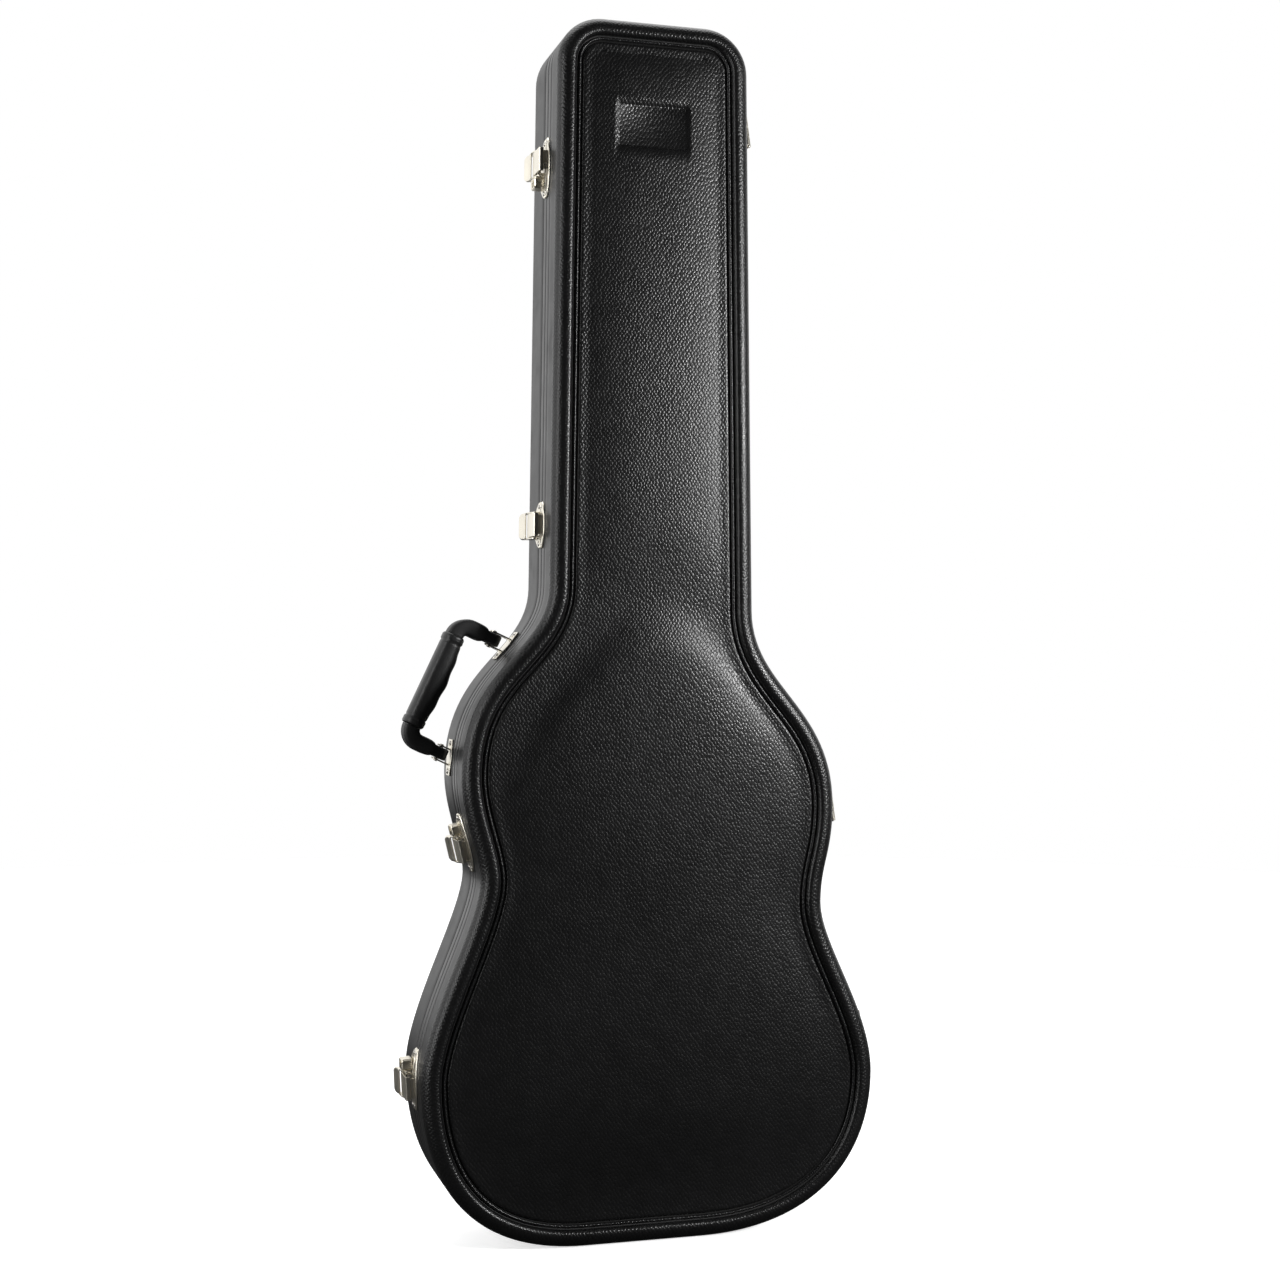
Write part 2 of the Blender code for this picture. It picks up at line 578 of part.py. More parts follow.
def latch(i, z, lock):
    fr = left_frame(z)
    wall = wall_height(LEFT_LINE, fr.at, fr.along, fr.out)
    n = str(i)
    lo = -HALF_W - 0.0085 - (LOCK_W if lock < 0 else 0.0)
    hi = HALF_W + 0.0085 + (LOCK_W if lock > 0 else 0.0)
    mid, half_len = (lo + hi) / 2, (hi - lo) / 2
    pivot = fr(0, PX, PH)

    def eye(s, deep, tip):
        u = abs(s - mid) / half_len
        return tip + (deep - tip) * max(0.0, 1.0 - u * u) ** 0.75

    def half_plate(sign, start, deep, tip):
        def b(bm):
            secs = []
            for s in stations(wall, lo, hi, 8):
                w = wall(s)
                y0, y1 = SEAM_Y + sign * start, SEAM_Y + sign * eye(s, deep, tip)
                secs.append([fr(s, y0, w + GAP), fr(s, y1, w + GAP), fr(s, y1, w + 0.0015), fr(s, y0, w + 0.0015)])
            loft(bm, secs)
        return b

    # plate on the base, with two ears for the lever's pin
    steps = []
    for sg in (-1, 1):
        c = sg * (HALF_W - CHEEK - 0.0004 - 0.0006)

        def ear(bm, c=c):
            w = min(wall(c - 0.0006), wall(c + 0.0006))
            prof = [(PX - 0.0024, w + 0.0009), (PX + 0.0026, w + 0.0009), (PX + 0.0026, 0.0050)]
            prof += [(PX + 0.0024 * math.cos(a), PH + 0.0024 * math.sin(a))
                     for a in (math.radians(t) for t in (30, 60, 90, 120, 150))]
            prof += [(PX - 0.0024, 0.0050)]
            extrude_profile(bm, fr, prof, c - 0.0006, c + 0.0006)
        steps.append(("UNION", ear))

    def bore(bm):
        rod(bm, fr(-0.03, PX, PH), fr(0.03, PX, PH), 0.0014, 10)
    steps.append(("DIFFERENCE", bore))
    combine("latch_%s_plate" % n, half_plate(1, 0.0012, 0.0255, 0.0050), steps, "hardware")

    bm = bmesh.new()
    rod(bm, fr(-HALF_W - 0.0006, PX, PH), fr(HALF_W + 0.0006, PX, PH), 0.0011, 10)
    new_object("latch_%s_pin" % n, bm, "pin", pivot)

    # lever: a channel, open towards the wall, with a rod that carries the hook
    top_in, top_out = 0.0098, 0.0110

    def roof(bm):
        y0 = HX + 0.0034
        prof = [(y0, top_in), (y0, top_out), (SEAM_Y + 0.026, top_out), (SEAM_Y + 0.031, top_out + 0.0006),
                (SEAM_Y + 0.0350, top_out + 0.0022), (SEAM_Y + 0.0356, top_out + 0.0012),
                (SEAM_Y + 0.0312, top_in + 0.0004), (SEAM_Y + 0.026, top_in)]
        extrude_profile(bm, fr, prof, -HALF_W, HALF_W)

    steps = []
    for sg in (-1, 1):
        a0, a1 = (-HALF_W + 0.0002, -HALF_W + CHEEK) if sg < 0 else (HALF_W - CHEEK, HALF_W - 0.0002)

        def cheek(bm, a0=a0, a1=a1):
            prof = [(SEAM_Y + 0.0300, 0.0034), (SEAM_Y + 0.0300, top_in + 0.0006), (HX - 0.0020, top_in + 0.0006),
                    (PX - 0.0010, PH + 0.0030)]
            prof += [(PX + 0.0030 * math.cos(a), PH + 0.0030 * math.sin(a))
                     for a in (math.radians(t) for t in (150, 180, 210, 240, 270))]
            prof += [(SEAM_Y + 0.0270, 0.0022)]
            extrude_profile(bm, fr, prof, a0, a1)
        steps.append(("UNION", cheek))

    def hook_rod(bm):
        rod(bm, fr(-HALF_W + 0.0004, HX, HH), fr(HALF_W - 0.0004, HX, HH), 0.0009, 10)
    steps.append(("UNION", hook_rod))
    steps.append(("DIFFERENCE", bore))
    combine("latch_%s_lever" % n, roof, steps, "hardware", pivot)

    # hook: rolled round the rod, reaching over the seam to the keeper's lip
    hw = HALF_W - CHEEK - 0.0005
    ro, ri = 0.0021, 0.0012
    prof = []
    for t in (90, 60, 30, 0, -30, -60, -90, -120, -150, -180, -210):
        a = math.radians(t)
        prof.append((HX + ro * math.cos(a), HH + ro * math.sin(a)))
    for t in (-210, -180, -150, -120, -90, -60, -30, 0, 30, 60, 90):
        a = math.radians(t)
        prof.append((HX + ri * math.cos(a), HH + ri * math.sin(a)))
    prof += [(SEAM_Y - 0.0070, HH + ri), (SEAM_Y - 0.0074, HH + 0.0006), (SEAM_Y - 0.0074, 0.0055),
             (SEAM_Y - 0.0086, 0.0055), (SEAM_Y - 0.0086, HH + 0.0012), (SEAM_Y - 0.0076, HH + ro)]
    bm = bmesh.new()
    extrude_profile(bm, fr, prof, -hw, hw)
    new_object("latch_%s_hook" % n, bm, "hardware", fr(0, HX, HH))

    # keeper on the lid with its raised lip
    def lip(bm):
        w = min(wall(-hw + 0.002), wall(hw - 0.002), wall(0.0))
        prof = [(SEAM_Y - 0.0058, w + 0.0009), (SEAM_Y - 0.0058, 0.0046), (SEAM_Y - 0.0062, 0.0052),
                (SEAM_Y - 0.0070, 0.0052), (SEAM_Y - 0.0070, w + 0.0009)]
        extrude_profile(bm, fr, prof, -hw + 0.002, hw - 0.002)
    combine("latch_%s_keeper" % n, half_plate(-1, 0.0012, 0.0125, 0.0035), [("UNION", lip)], "hardware")

    # rivets at the plate's tips
    for tag, s in (("a", lo + 0.0042), ("b", hi - 0.0042)):
        w = wall(s)
        slope = (wall(s + 0.002) - wall(s - 0.002)) / 0.004
        out = (fr.out - fr.along * slope).normalized()
        c = fr(s, SEAM_Y + 0.0046, w)
        bm = bmesh.new()
        secs = []
        base_dir = (fr.along + fr.out * slope).normalized()
        for hgt, rad in ((0.0018, 0.0021), (0.0024, 0.0019), (0.0029, 0.0010)):
            secs.append([c + out * hgt + base_dir * (rad * math.cos(a)) + Vector((0, 1, 0)) * (rad * math.sin(a))
                         for a in (math.radians(45 * k) for k in range(8))])
        loft(bm, secs)
        new_object("latch_%s_rivet_%s" % (n, tag), bm, "hardware")

    # key lock beside the lever
    if lock:
        s0 = lock * (HALF_W + 0.0007)
        s1 = lock * (HALF_W + 0.0007 + LOCK_W - 0.0015)
        sa, sb = min(s0, s1), max(s0, s1)
        sc = (sa + sb) / 2
        w = max(wall(sa), wall(sb), wall(sc))
        yc = SEAM_Y + 0.0125

        def housing(bm):
            c = 0.0016
            y0, y1 = yc - 0.0078, yc + 0.0078
            ring = [(sa + c, y0), (sb - c, y0), (sb, y0 + c), (sb, y1 - c), (sb - c, y1), (sa + c, y1), (sa, y1 - c), (sa, y0 + c)]
            secs = []
            for hgt, k in ((w + 0.0018, 0.0), (0.0092, 0.0), (0.0102, 0.0008)):
                secs.append([fr(sc + (s - sc) * (1 - k / 0.005), yc + (y - yc) * (1 - k / 0.0078), hgt) for s, y in ring])
            loft(bm, secs)

        def well(bm):
            rod(bm, fr(sc, yc, 0.0046), fr(sc, yc, 0.014), 0.0034, 14)
        combine("latch_%s_lock" % n, housing, [("DIFFERENCE", well)], "hardware")

        def plug(bm):
            rod(bm, fr(sc, yc, 0.0049), fr(sc, yc, 0.0107), 0.0031, 14)

        def slot(bm):
            box(bm, fr, (sc - 0.0004, sc + 0.0004), (yc - 0.0019, yc + 0.0019), (0.0088, 0.013))
        combine("latch_%s_key_plug" % n, plug, [("DIFFERENCE", slot)], "hardware", fr(sc, yc, 0.0078))


for i, (z, lock) in enumerate(zip(LATCH_Z, LATCH_LOCK), 1):
    latch(i, z, lock)

# ------------------------------------------------------------------ handle
gd = Vector((GRIP_DIR[0], 0.0, GRIP_DIR[1])).normalized()
gm = Vector((-gd.z, 0.0, gd.x))
gf = Frame((GRIP_MID[0], 0.0, GRIP_MID[1]), gd, gm)
gwall = wall_height(LEFT_LINE, gf.at, gd, gm)
AXIS_H = max(gwall(LEG_TOP), gwall(LEG_BOTTOM)) + 0.0118
axis_mid = gf((LEG_TOP + LEG_BOTTOM) / 2, HANDLE_Y, AXIS_H)


def strap_section(s, h, ds, dh, thick, wide, cut):
    """Chamfered rectangle across the strap's path; (ds, dh) is the path's direction."""
    k = math.hypot(ds, dh)
    ns, nh = -dh / k, ds / k
    a, b = thick / 2, wide / 2
    ring = [(a - cut, b), (a, b - cut), (a, -b + cut), (a - cut, -b), (-a + cut, -b), (-a, -b + cut), (-a, b - cut), (-a + cut, b)]
    return [gf(s + ns * p, HANDLE_Y + q, h + nh * p) for p, q in ring]


def strap(bm):
    secs = []
    t0, w0 = 0.0105, 0.021
    rc = 0.0110
    gl = GRIP_LEN / 2
    secs.append(strap_section(LEG_BOTTOM, AXIS_H - 0.0042, 0, 1, 0.0088, 0.009, 0.0020))
    secs.append(strap_section(LEG_BOTTOM, AXIS_H - 0.0012, 0, 1, t0, 0.0155, 0.0022))
    secs.append(strap_section(LEG_BOTTOM, AXIS_H + 0.0080, 0, 1, t0, w0, 0.0025))
    secs.append(strap_section(LEG_BOTTOM, -rc, 0, 1, t0, w0, 0.0025))
    for t in (22.5, 45, 67.5, 90):
        a = math.radians(t)
        secs.append(strap_section(LEG_BOTTOM + rc * (1 - math.cos(a)), -rc + rc * math.sin(a),
                                  math.sin(a), math.cos(a), t0, w0, 0.0025))
    secs.append(strap_section(-gl - 0.0004, 0, 1, 0, t0, w0, 0.0025))
    secs.append(strap_section(-gl - 0.0003, 0, 1, 0, 0.0050, 0.012, 0.0015))
    secs.append(strap_section(gl + 0.0003, 0, 1, 0, 0.0050, 0.012, 0.0015))
    secs.append(strap_section(gl + 0.0004, 0, 1, 0, t0, w0, 0.0025))
    for t in (90, 67.5, 45, 22.5):
        a = math.radians(t)
        secs.append(strap_section(LEG_TOP - rc * (1 - math.cos(a)), -rc + rc * math.sin(a),
                                  math.sin(a), -math.cos(a), t0, w0, 0.0025))
    secs.append(strap_section(LEG_TOP, -rc, 0, -1, t0, w0, 0.0025))
    secs.append(strap_section(LEG_TOP, AXIS_H + 0.0080, 0, -1, t0, w0, 0.0025))
    secs.append(strap_section(LEG_TOP, AXIS_H - 0.0012, 0, -1, t0, 0.0155, 0.0022))
    secs.append(strap_section(LEG_TOP, AXIS_H - 0.0042, 0, -1, 0.0088, 0.009, 0.0020))
    loft(bm, secs)


def strap_bore(bm):
    rod(bm, gf(LEG_BOTTOM - 0.02, HANDLE_Y, AXIS_H), gf(LEG_BOTTOM + 0.012, HANDLE_Y, AXIS_H), 0.0021, 10)


def strap_bore2(bm):
    rod(bm, gf(LEG_TOP - 0.012, HANDLE_Y, AXIS_H), gf(LEG_TOP + 0.02, HANDLE_Y, AXIS_H), 0.0021, 10)


combine("handle_strap", strap, [("DIFFERENCE", strap_bore), ("DIFFERENCE", strap_bore2)], "strap", axis_mid)


def grip(bm):
    gl = GRIP_LEN / 2
    m = 14
    stations = []
    for k in range(7):
        u = -1 + 2 * k / 6
        swell = 0.0035 * max(0.0, math.cos(u * math.pi / 2)) ** 1.5
        stations.append((u * gl, 0.0098, 0.0098 + swell, 0.0135))
    outer, inner = [], []
    for s, up, down, wide in stations:
        ring = []
        for j in range(m):
            a = 2 * math.pi * j / m
            c, q = math.cos(a), math.sin(a)
            rad = up if c > 0 else down
            ring.append(bm.verts.new(gf(s, HANDLE_Y + wide * math.copysign(abs(q) ** 0.85, q),
                                        rad * math.copysign(abs(c) ** 0.85, c))))
        outer.append(ring)
    for s in (-gl, gl):
        ring = []
        for j in range(m):
            a = 2 * math.pi * j / m
            c, q = math.cos(a), math.sin(a)
            ring.append(bm.verts.new(gf(s, HANDLE_Y + 0.0074 * math.copysign(abs(q) ** 0.6, q),
                                        0.0036 * math.copysign(abs(c) ** 0.6, c))))
        inner.append(ring)
    rings = outer + [inner[1], inner[0]]
    for a in range(len(rings)):
        b = (a + 1) % len(rings)
        for i in range(m):
            j = (i + 1) % m
            bm.faces.new((rings[a][i], rings[a][j], rings[b][j], rings[b][i]))


bm = bmesh.new()
grip(bm)
new_object("handle_grip", bm, "grip", axis_mid)

for tag, s_leg in (("top", LEG_TOP), ("bottom", LEG_BOTTOM)):
    def plate(bm, s_leg=s_leg):
        secs = []
        for s in stations(gwall, s_leg - 0.0150, s_leg + 0.0150, 6):
            w = gwall(s)
            y = 0.0110 - 0.0030 * abs(s - s_leg) / 0.015
            secs.append([gf(s, HANDLE_Y + q, w + d)
                         for d, q in ((0.0004, -y), (0.0004, y), (0.0017, y), (0.0017, -y))])
        loft(bm, secs)
    steps = []
    for sg in (-1, 1):
        def ear(bm, s_leg=s_leg, sg=sg):
            c = s_leg + sg * 0.0064
            w = min(gwall(c - 0.0007), gwall(c + 0.0007))
            prof = [(HANDLE_Y - 0.0050, w + 0.0012), (HANDLE_Y + 0.0050, w + 0.0012), (HANDLE_Y + 0.0044, AXIS_H)]
            prof += [(HANDLE_Y + 0.0042 * math.cos(a), AXIS_H + 0.0042 * math.sin(a))
                     for a in (math.radians(t) for t in (30, 60, 90, 120, 150))]
            prof += [(HANDLE_Y - 0.0044, AXIS_H)]
            extrude_profile(bm, gf, prof, c - 0.0006, c + 0.0006)
        steps.append(("UNION", ear))

    def bore(bm, s_leg=s_leg):
        rod(bm, gf(s_leg - 0.02, HANDLE_Y, AXIS_H), gf(s_leg + 0.02, HANDLE_Y, AXIS_H), 0.0021, 10)
    steps.append(("DIFFERENCE", bore))
    combine("handle_%s_bracket" % tag, plate, steps, "hardware")
    bm = bmesh.new()
    rod(bm, gf(s_leg - 0.0080, HANDLE_Y, AXIS_H), gf(s_leg + 0.0080, HANDLE_Y, AXIS_H), 0.0018, 10)
    new_object("handle_%s_pin" % tag, bm, "pin")

bpy.context.view_layer.update()
for _o in sorted(bpy.data.objects, key=lambda o: o.name):
    if _o.type == "MESH" and not _o.hide_render:
        print("%-26s tris %5d" % (_o.name, sum(len(p.vertices) - 2 for p in _o.data.polygons)))
print("hinge axis", [round(c, 5) for c in (H_LOW + HOUT * HINGE_OUT)], [round(c, 5) for c in HALONG])
print("handle axis", [round(c, 5) for c in axis_mid], [round(c, 5) for c in gd])
for i, z in enumerate(LATCH_Z, 1):
    fr = left_frame(z)
    print("latch", i, "pivot", [round(c, 5) for c in fr(0, PX, PH)], "hook", [round(c, 5) for c in fr(0, HX, HH)],
          "along", [round(c, 5) for c in fr.along], "out", [round(c, 5) for c in fr.out])
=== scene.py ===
import json
import math
import bmesh
import bpy
from mathutils import Matrix, Vector, noise


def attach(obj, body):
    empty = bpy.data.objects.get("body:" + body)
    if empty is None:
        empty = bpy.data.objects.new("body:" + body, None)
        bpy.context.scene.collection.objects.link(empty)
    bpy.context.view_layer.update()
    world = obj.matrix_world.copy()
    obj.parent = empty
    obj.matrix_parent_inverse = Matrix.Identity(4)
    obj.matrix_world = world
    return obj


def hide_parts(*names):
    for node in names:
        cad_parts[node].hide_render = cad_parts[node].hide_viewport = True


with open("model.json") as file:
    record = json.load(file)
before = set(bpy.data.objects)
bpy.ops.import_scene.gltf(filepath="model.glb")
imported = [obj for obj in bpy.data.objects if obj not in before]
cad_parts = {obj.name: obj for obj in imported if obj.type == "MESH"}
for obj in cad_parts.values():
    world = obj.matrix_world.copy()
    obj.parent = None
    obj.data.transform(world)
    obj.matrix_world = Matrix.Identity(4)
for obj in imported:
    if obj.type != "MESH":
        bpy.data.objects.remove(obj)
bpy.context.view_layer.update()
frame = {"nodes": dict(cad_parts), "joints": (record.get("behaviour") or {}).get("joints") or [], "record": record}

REC = frame["record"]
JOINT = {j["name"]: j for j in frame["joints"]}
scene = bpy.context.scene

# ------------------------------------------------------------------ sizes shared with the solids (metres)
LENGTH = 1.070
F = -0.056
BACK_Y = 0.056
SEAM = -0.014
WALL = 0.003
GAP = 0.0003
RIM = 0.011
BACK_ROLL = 0.022
NECK_HALF = 0.0928
NECK_TAPER = 0.0125
HEAD_CORNER = 0.040
RIGHT = {"foot": 0.046, "foot_h": 0.110, "lower": (0.2080, 0.1375), "lower_h": (0.077, 0.0555),
         "waist": (0.1590, 0.2915), "waist_h": (0.037, 0.034), "upper": (0.1705, 0.3785),
         "upper_h": (0.042, 0.090), "neck_z": 0.5530, "neck_h": 0.0687}
LEFT = {"foot": 0.060, "foot_h": 0.108, "lower": (0.2035, 0.1480), "lower_h": (0.078, 0.0500),
        "waist": (0.1525, 0.3190), "waist_h": (0.035, 0.022), "upper": (0.1695, 0.4085),
        "upper_h": (0.035, 0.098), "neck_z": 0.5740, "neck_h": 0.0600}
NECK_REF_Z = 0.553
VALANCE = 0.011
FLANGE = 0.020
LINER_CLEAR = 0.0068
TRAY_FLOOR = BACK_Y - 0.016
DOME_BODY = 0.0055
DOME_NECK = 0.0012
NECK_PILLOW = 0.0030        # the cover panel of the neck is fuller than its wall
HI = (40, 28, 20, 28, 34, 14)
MID = (24, 16, 12, 16, 16, 8)


# ------------------------------------------------------------------ outline
def bez(p, q, r, s, t):
    a = 1.0 - t
    x = a**3 * p[0] + 3 * a * a * t * q[0] + 3 * a * t * t * r[0] + t**3 * s[0]
    z = a**3 * p[1] + 3 * a * a * t * q[1] + 3 * a * t * t * r[1] + t**3 * s[1]
    dx = 3 * a * a * (q[0] - p[0]) + 6 * a * t * (r[0] - q[0]) + 3 * t * t * (s[0] - r[0])
    dz = 3 * a * a * (q[1] - p[1]) + 6 * a * t * (r[1] - q[1]) + 3 * t * t * (s[1] - r[1])
    n = math.hypot(dx, dz)
    return (x, z, dx / n, dz / n)


def neck_x(z):
    return NECK_HALF - NECK_TAPER * (z - NECK_REF_Z)


def half(side, counts):
    lx, lz = side["lower"]
    wx, wz = side["waist"]
    ux, uz = side["upper"]
    nz = side["neck_z"]
    nx = neck_x(nz)
    tz = LENGTH - HEAD_CORNER
    tx = neck_x(tz)
    k = math.hypot(NECK_TAPER, 1.0)
    down = (NECK_TAPER / k * side["neck_h"], -1.0 / k * side["neck_h"])
    segs = [
        ((side["foot"], 0.0), (side["foot"] + side["foot_h"], 0.0),
         (lx, lz - side["lower_h"][0]), (lx, lz)),
        ((lx, lz), (lx, lz + side["lower_h"][1]), (wx, wz - side["waist_h"][0]), (wx, wz)),
        ((wx, wz), (wx, wz + side["waist_h"][1]), (ux, uz - side["upper_h"][0]), (ux, uz)),
        ((ux, uz), (ux, uz + side["upper_h"][1]), (nx + down[0], nz + down[1]), (nx, nz)),
        ((nx, nz), (nx + (tx - nx) / 3, nz + (tz - nz) / 3),
         (nx + (tx - nx) * 2 / 3, nz + (tz - nz) * 2 / 3), (tx, tz)),
    ]
    pts = [(side["foot"], 0.0, 1.0, 0.0)]
    for seg, n in zip(segs, counts):
        for i in range(1, n + 1):
            pts.append(bez(*seg, i / n))
    n = counts[5]
    for i in range(1, n + 1):
        a = math.pi / 2 * i / n
        pts.append((tx - HEAD_CORNER + HEAD_CORNER * math.cos(a), tz + HEAD_CORNER * math.sin(a),
                    -math.sin(a), math.cos(a)))
    return pts


def loop(counts, cols):
    r = half(RIGHT, counts)
    l = half(LEFT, counts)
    n = len(r)
    pts = [(x, z, tz, -tx) for x, z, tx, tz in r]
    for j in range(1, cols):
        u = j / cols
        pts.append((r[-1][0] * (1 - u) - l[-1][0] * u, LENGTH, 0.0, 1.0))
    pts += [(-x, z, -tz, -tx) for x, z, tx, tz in reversed(l)]
    for j in range(1, cols):
        u = j / cols
        pts.append((-l[0][0] * (1 - u) + r[0][0] * u, 0.0, 0.0, -1.0))
    return pts, n


def step(a, b, v):
    t = max(0.0, min(1.0, (v - a) / (b - a)))
    return t * t * (3 - 2 * t)


def dome(u, z, neck=DOME_NECK):
    amp = neck + (DOME_BODY - neck) * (1.0 - step(0.490, 0.600, z))
    ends = step(0.03, 0.13, z) * (1.0 - step(LENGTH - 0.05, LENGTH - 0.02, z))
    return amp * ends * (1.0 - abs(2 * u - 1) ** 2.4)


def cover(u, z, x):
    """Rise of the lid's cover: a pillowed neck, and a fuller body whose upper end is an arch."""
    crest = 0.552 - 0.050 * abs((x - 0.008) / 0.080) ** 2.0
    q = 1.0 - step(crest - 0.036, crest + 0.010, z)
    fade = 0.35 + 0.65 * step(0.560, 0.632, z)     # the neck's pillow sinks just above the arch
    ends = step(0.03, 0.13, z) * (1.0 - step(LENGTH - 0.055, LENGTH - 0.020, z))
    e = 1.0 - abs(2 * u - 1) ** 2.4
    return ends * (NECK_PILLOW * fade * e * (1 - q) + DOME_BODY * e * q)


# ------------------------------------------------------------------ node materials
class Tree:
    def __init__(self, name):
        self.mat = bpy.data.materials.new(name)
        self.mat.use_nodes = True
        self.nt = self.mat.node_tree
        self.b = self.nt.nodes["Principled BSDF"]

    def node(self, kind, **kw):
        n = self.nt.nodes.new(kind)
        for k, v in kw.items():
            setattr(n, k, v)
        return n

    def link(self, a, b):
        self.nt.links.new(a, b)

    def put(self, socket, value):
        if hasattr(value, "is_output"):
            self.link(value, socket)
        else:
            socket.default_value = value

    def math(self, op, a, b=0.0, c=None, clamp=False):
        n = self.node("ShaderNodeMath", operation=op, use_clamp=clamp)
        self.put(n.inputs[0], a)
        self.put(n.inputs[1], b)
        if c is not None:
            self.put(n.inputs[2], c)
        return n.outputs[0]

    def coords(self, uv=None):
        if uv:
            n = self.node("ShaderNodeUVMap")
            n.uv_map = uv
            return n.outputs["UV"]
        return self.node("ShaderNodeTexCoord").outputs["Object"]

    def mapping(self, vec, loc=(0, 0, 0), rot=(0, 0, 0), scale=(1, 1, 1)):
        n = self.node("ShaderNodeMapping")
        self.link(vec, n.inputs["Vector"])
        n.inputs["Location"].default_value = loc
        n.inputs["Rotation"].default_value = rot
        n.inputs["Scale"].default_value = scale
        return n.outputs[0]

    def noise(self, vec, scale, detail=3.0, rough=0.55, dist=0.0):
        n = self.node("ShaderNodeTexNoise")
        self.link(vec, n.inputs["Vector"])
        n.inputs["Scale"].default_value = scale
        n.inputs["Detail"].default_value = detail
        n.inputs["Roughness"].default_value = rough
        n.inputs["Distortion"].default_value = dist
        return n.outputs["Fac"]

    def ramp(self, fac, stops):
        n = self.node("ShaderNodeValToRGB")
        self.link(fac, n.inputs[0])
        e = n.color_ramp.elements
        while len(e) > len(stops):
            e.remove(e[-1])
        while len(e) < len(stops):
            e.new(0.5)
        for el, (p, c) in zip(e, stops):
            el.position = p
            el.color = (c[0], c[1], c[2], 1.0) if hasattr(c, "__len__") else (c, c, c, 1.0)
        return n.outputs[0]

    def remap(self, v, a, b, lo, hi):
        n = self.node("ShaderNodeMapRange")
        self.link(v, n.inputs[0])
        for i, x in enumerate((a, b, lo, hi), 1):
            n.inputs[i].default_value = x
        return n.outputs[0]

    def bump(self, height, strength, distance, normal=None):
        n = self.node("ShaderNodeBump")
        n.inputs["Strength"].default_value = strength
        n.inputs["Distance"].default_value = distance
        self.link(height, n.inputs["Height"])
        if normal is not None:
            self.link(normal, n.inputs["Normal"])
        return n.outputs[0]

    def mixc(self, fac, a, b, mode="MIX"):
        n = self.node("ShaderNodeMix", data_type="RGBA", blend_type=mode)
        self.put(n.inputs[0], fac)
        self.put(n.inputs[6], a)
        self.put(n.inputs[7], b)
        return n.outputs[2]

    def swizzle(self, vec, order):
        s = self.node("ShaderNodeSeparateXYZ")
        self.link(vec, s.inputs[0])
        c = self.node("ShaderNodeCombineXYZ")
        for i, k in enumerate(order):
            if k is not None:
                self.link(s.outputs[k], c.inputs[i])
        return c.outputs[0]


def rgba(c):
    return (c[0], c[1], c[2], 1.0)


def pebble_material(name, uv=None, color=(0.0045, 0.0045, 0.0047), pitch=0.0034, depth=0.00013, strength=1.0):
    """Moulded plastic with staggered pebbles, worn a little shinier and lighter on their tops, with painted shade
    darkening the valleys between them.
    """
    t = Tree(name)
    obj = t.coords()
    flat = t.coords(uv) if uv else t.swizzle(obj, (0, 2, None))
    wob = t.node("ShaderNodeTexNoise")
    t.link(flat, wob.inputs["Vector"])
    wob.inputs["Scale"].default_value = 26.0
    wob.inputs["Detail"].default_value = 1.0
    vm = t.node("ShaderNodeVectorMath", operation="SCALE")
    t.link(wob.outputs["Color"], vm.inputs[0])
    vm.inputs["Scale"].default_value = 0.0030
    add = t.node("ShaderNodeVectorMath", operation="ADD")
    t.link(flat, add.inputs[0])
    t.link(vm.outputs[0], add.inputs[1])
    grid = t.mapping(add.outputs[0], rot=(0, 0, math.radians(45)), scale=(1.41421 / pitch, 1.41421 / (pitch * 1.36), 1.0))
    v = t.node("ShaderNodeTexVoronoi", voronoi_dimensions="2D", feature="SMOOTH_F1", distance="EUCLIDEAN")
    t.link(grid, v.inputs["Vector"])
    v.inputs["Scale"].default_value = 1.0
    v.inputs["Randomness"].default_value = 0.48
    v.inputs["Smoothness"].default_value = 0.22
    hm = t.node("ShaderNodeMapRange", interpolation_type="SMOOTHSTEP")
    t.link(v.outputs["Distance"], hm.inputs[0])
    for k_, x_ in enumerate((0.26, 0.62, 1.0, 0.0), 1):
        hm.inputs[k_].default_value = x_
    h = hm.outputs[0]
    big = t.noise(obj, 9.0, 4.0)
    mid = t.noise(obj, 70.0, 3.0)
    fine = t.noise(obj, 2600.0, 2.0, 0.6)
    # painted shade: the base colour is darkened into the valleys between pebbles; the lighter tops stand for wear
    deep = t.ramp(h, ((0.0, 0.45), (0.5, 1.0), (1.0, 1.25)))
    tone = t.mixc(t.remap(big, 0.3, 0.7, 0.0, 1.0), rgba(color), rgba([c * 1.35 for c in color]))
    t.link(t.mixc(1.0, tone, deep, "MULTIPLY"), t.b.inputs["Base Color"])
    r = t.math("ADD", t.remap(big, 0.3, 0.7, 0.315, 0.350), t.remap(mid, 0.3, 0.7, -0.025, 0.03))
    r = t.math("ADD", r, t.remap(h, 0.0, 0.8, 0.07, -0.03))
    r = t.math("ADD", r, t.remap(fine, 0.3, 0.7, -0.02, 0.02), clamp=True)
    t.link(r, t.b.inputs["Roughness"])
    n1 = t.bump(h, strength, depth)
    n2 = t.bump(fine, 0.25, 0.00006, n1)
    t.link(n2, t.b.inputs["Normal"])
    t.b.inputs["Specular IOR Level"].default_value = 0.5
    return t.mat


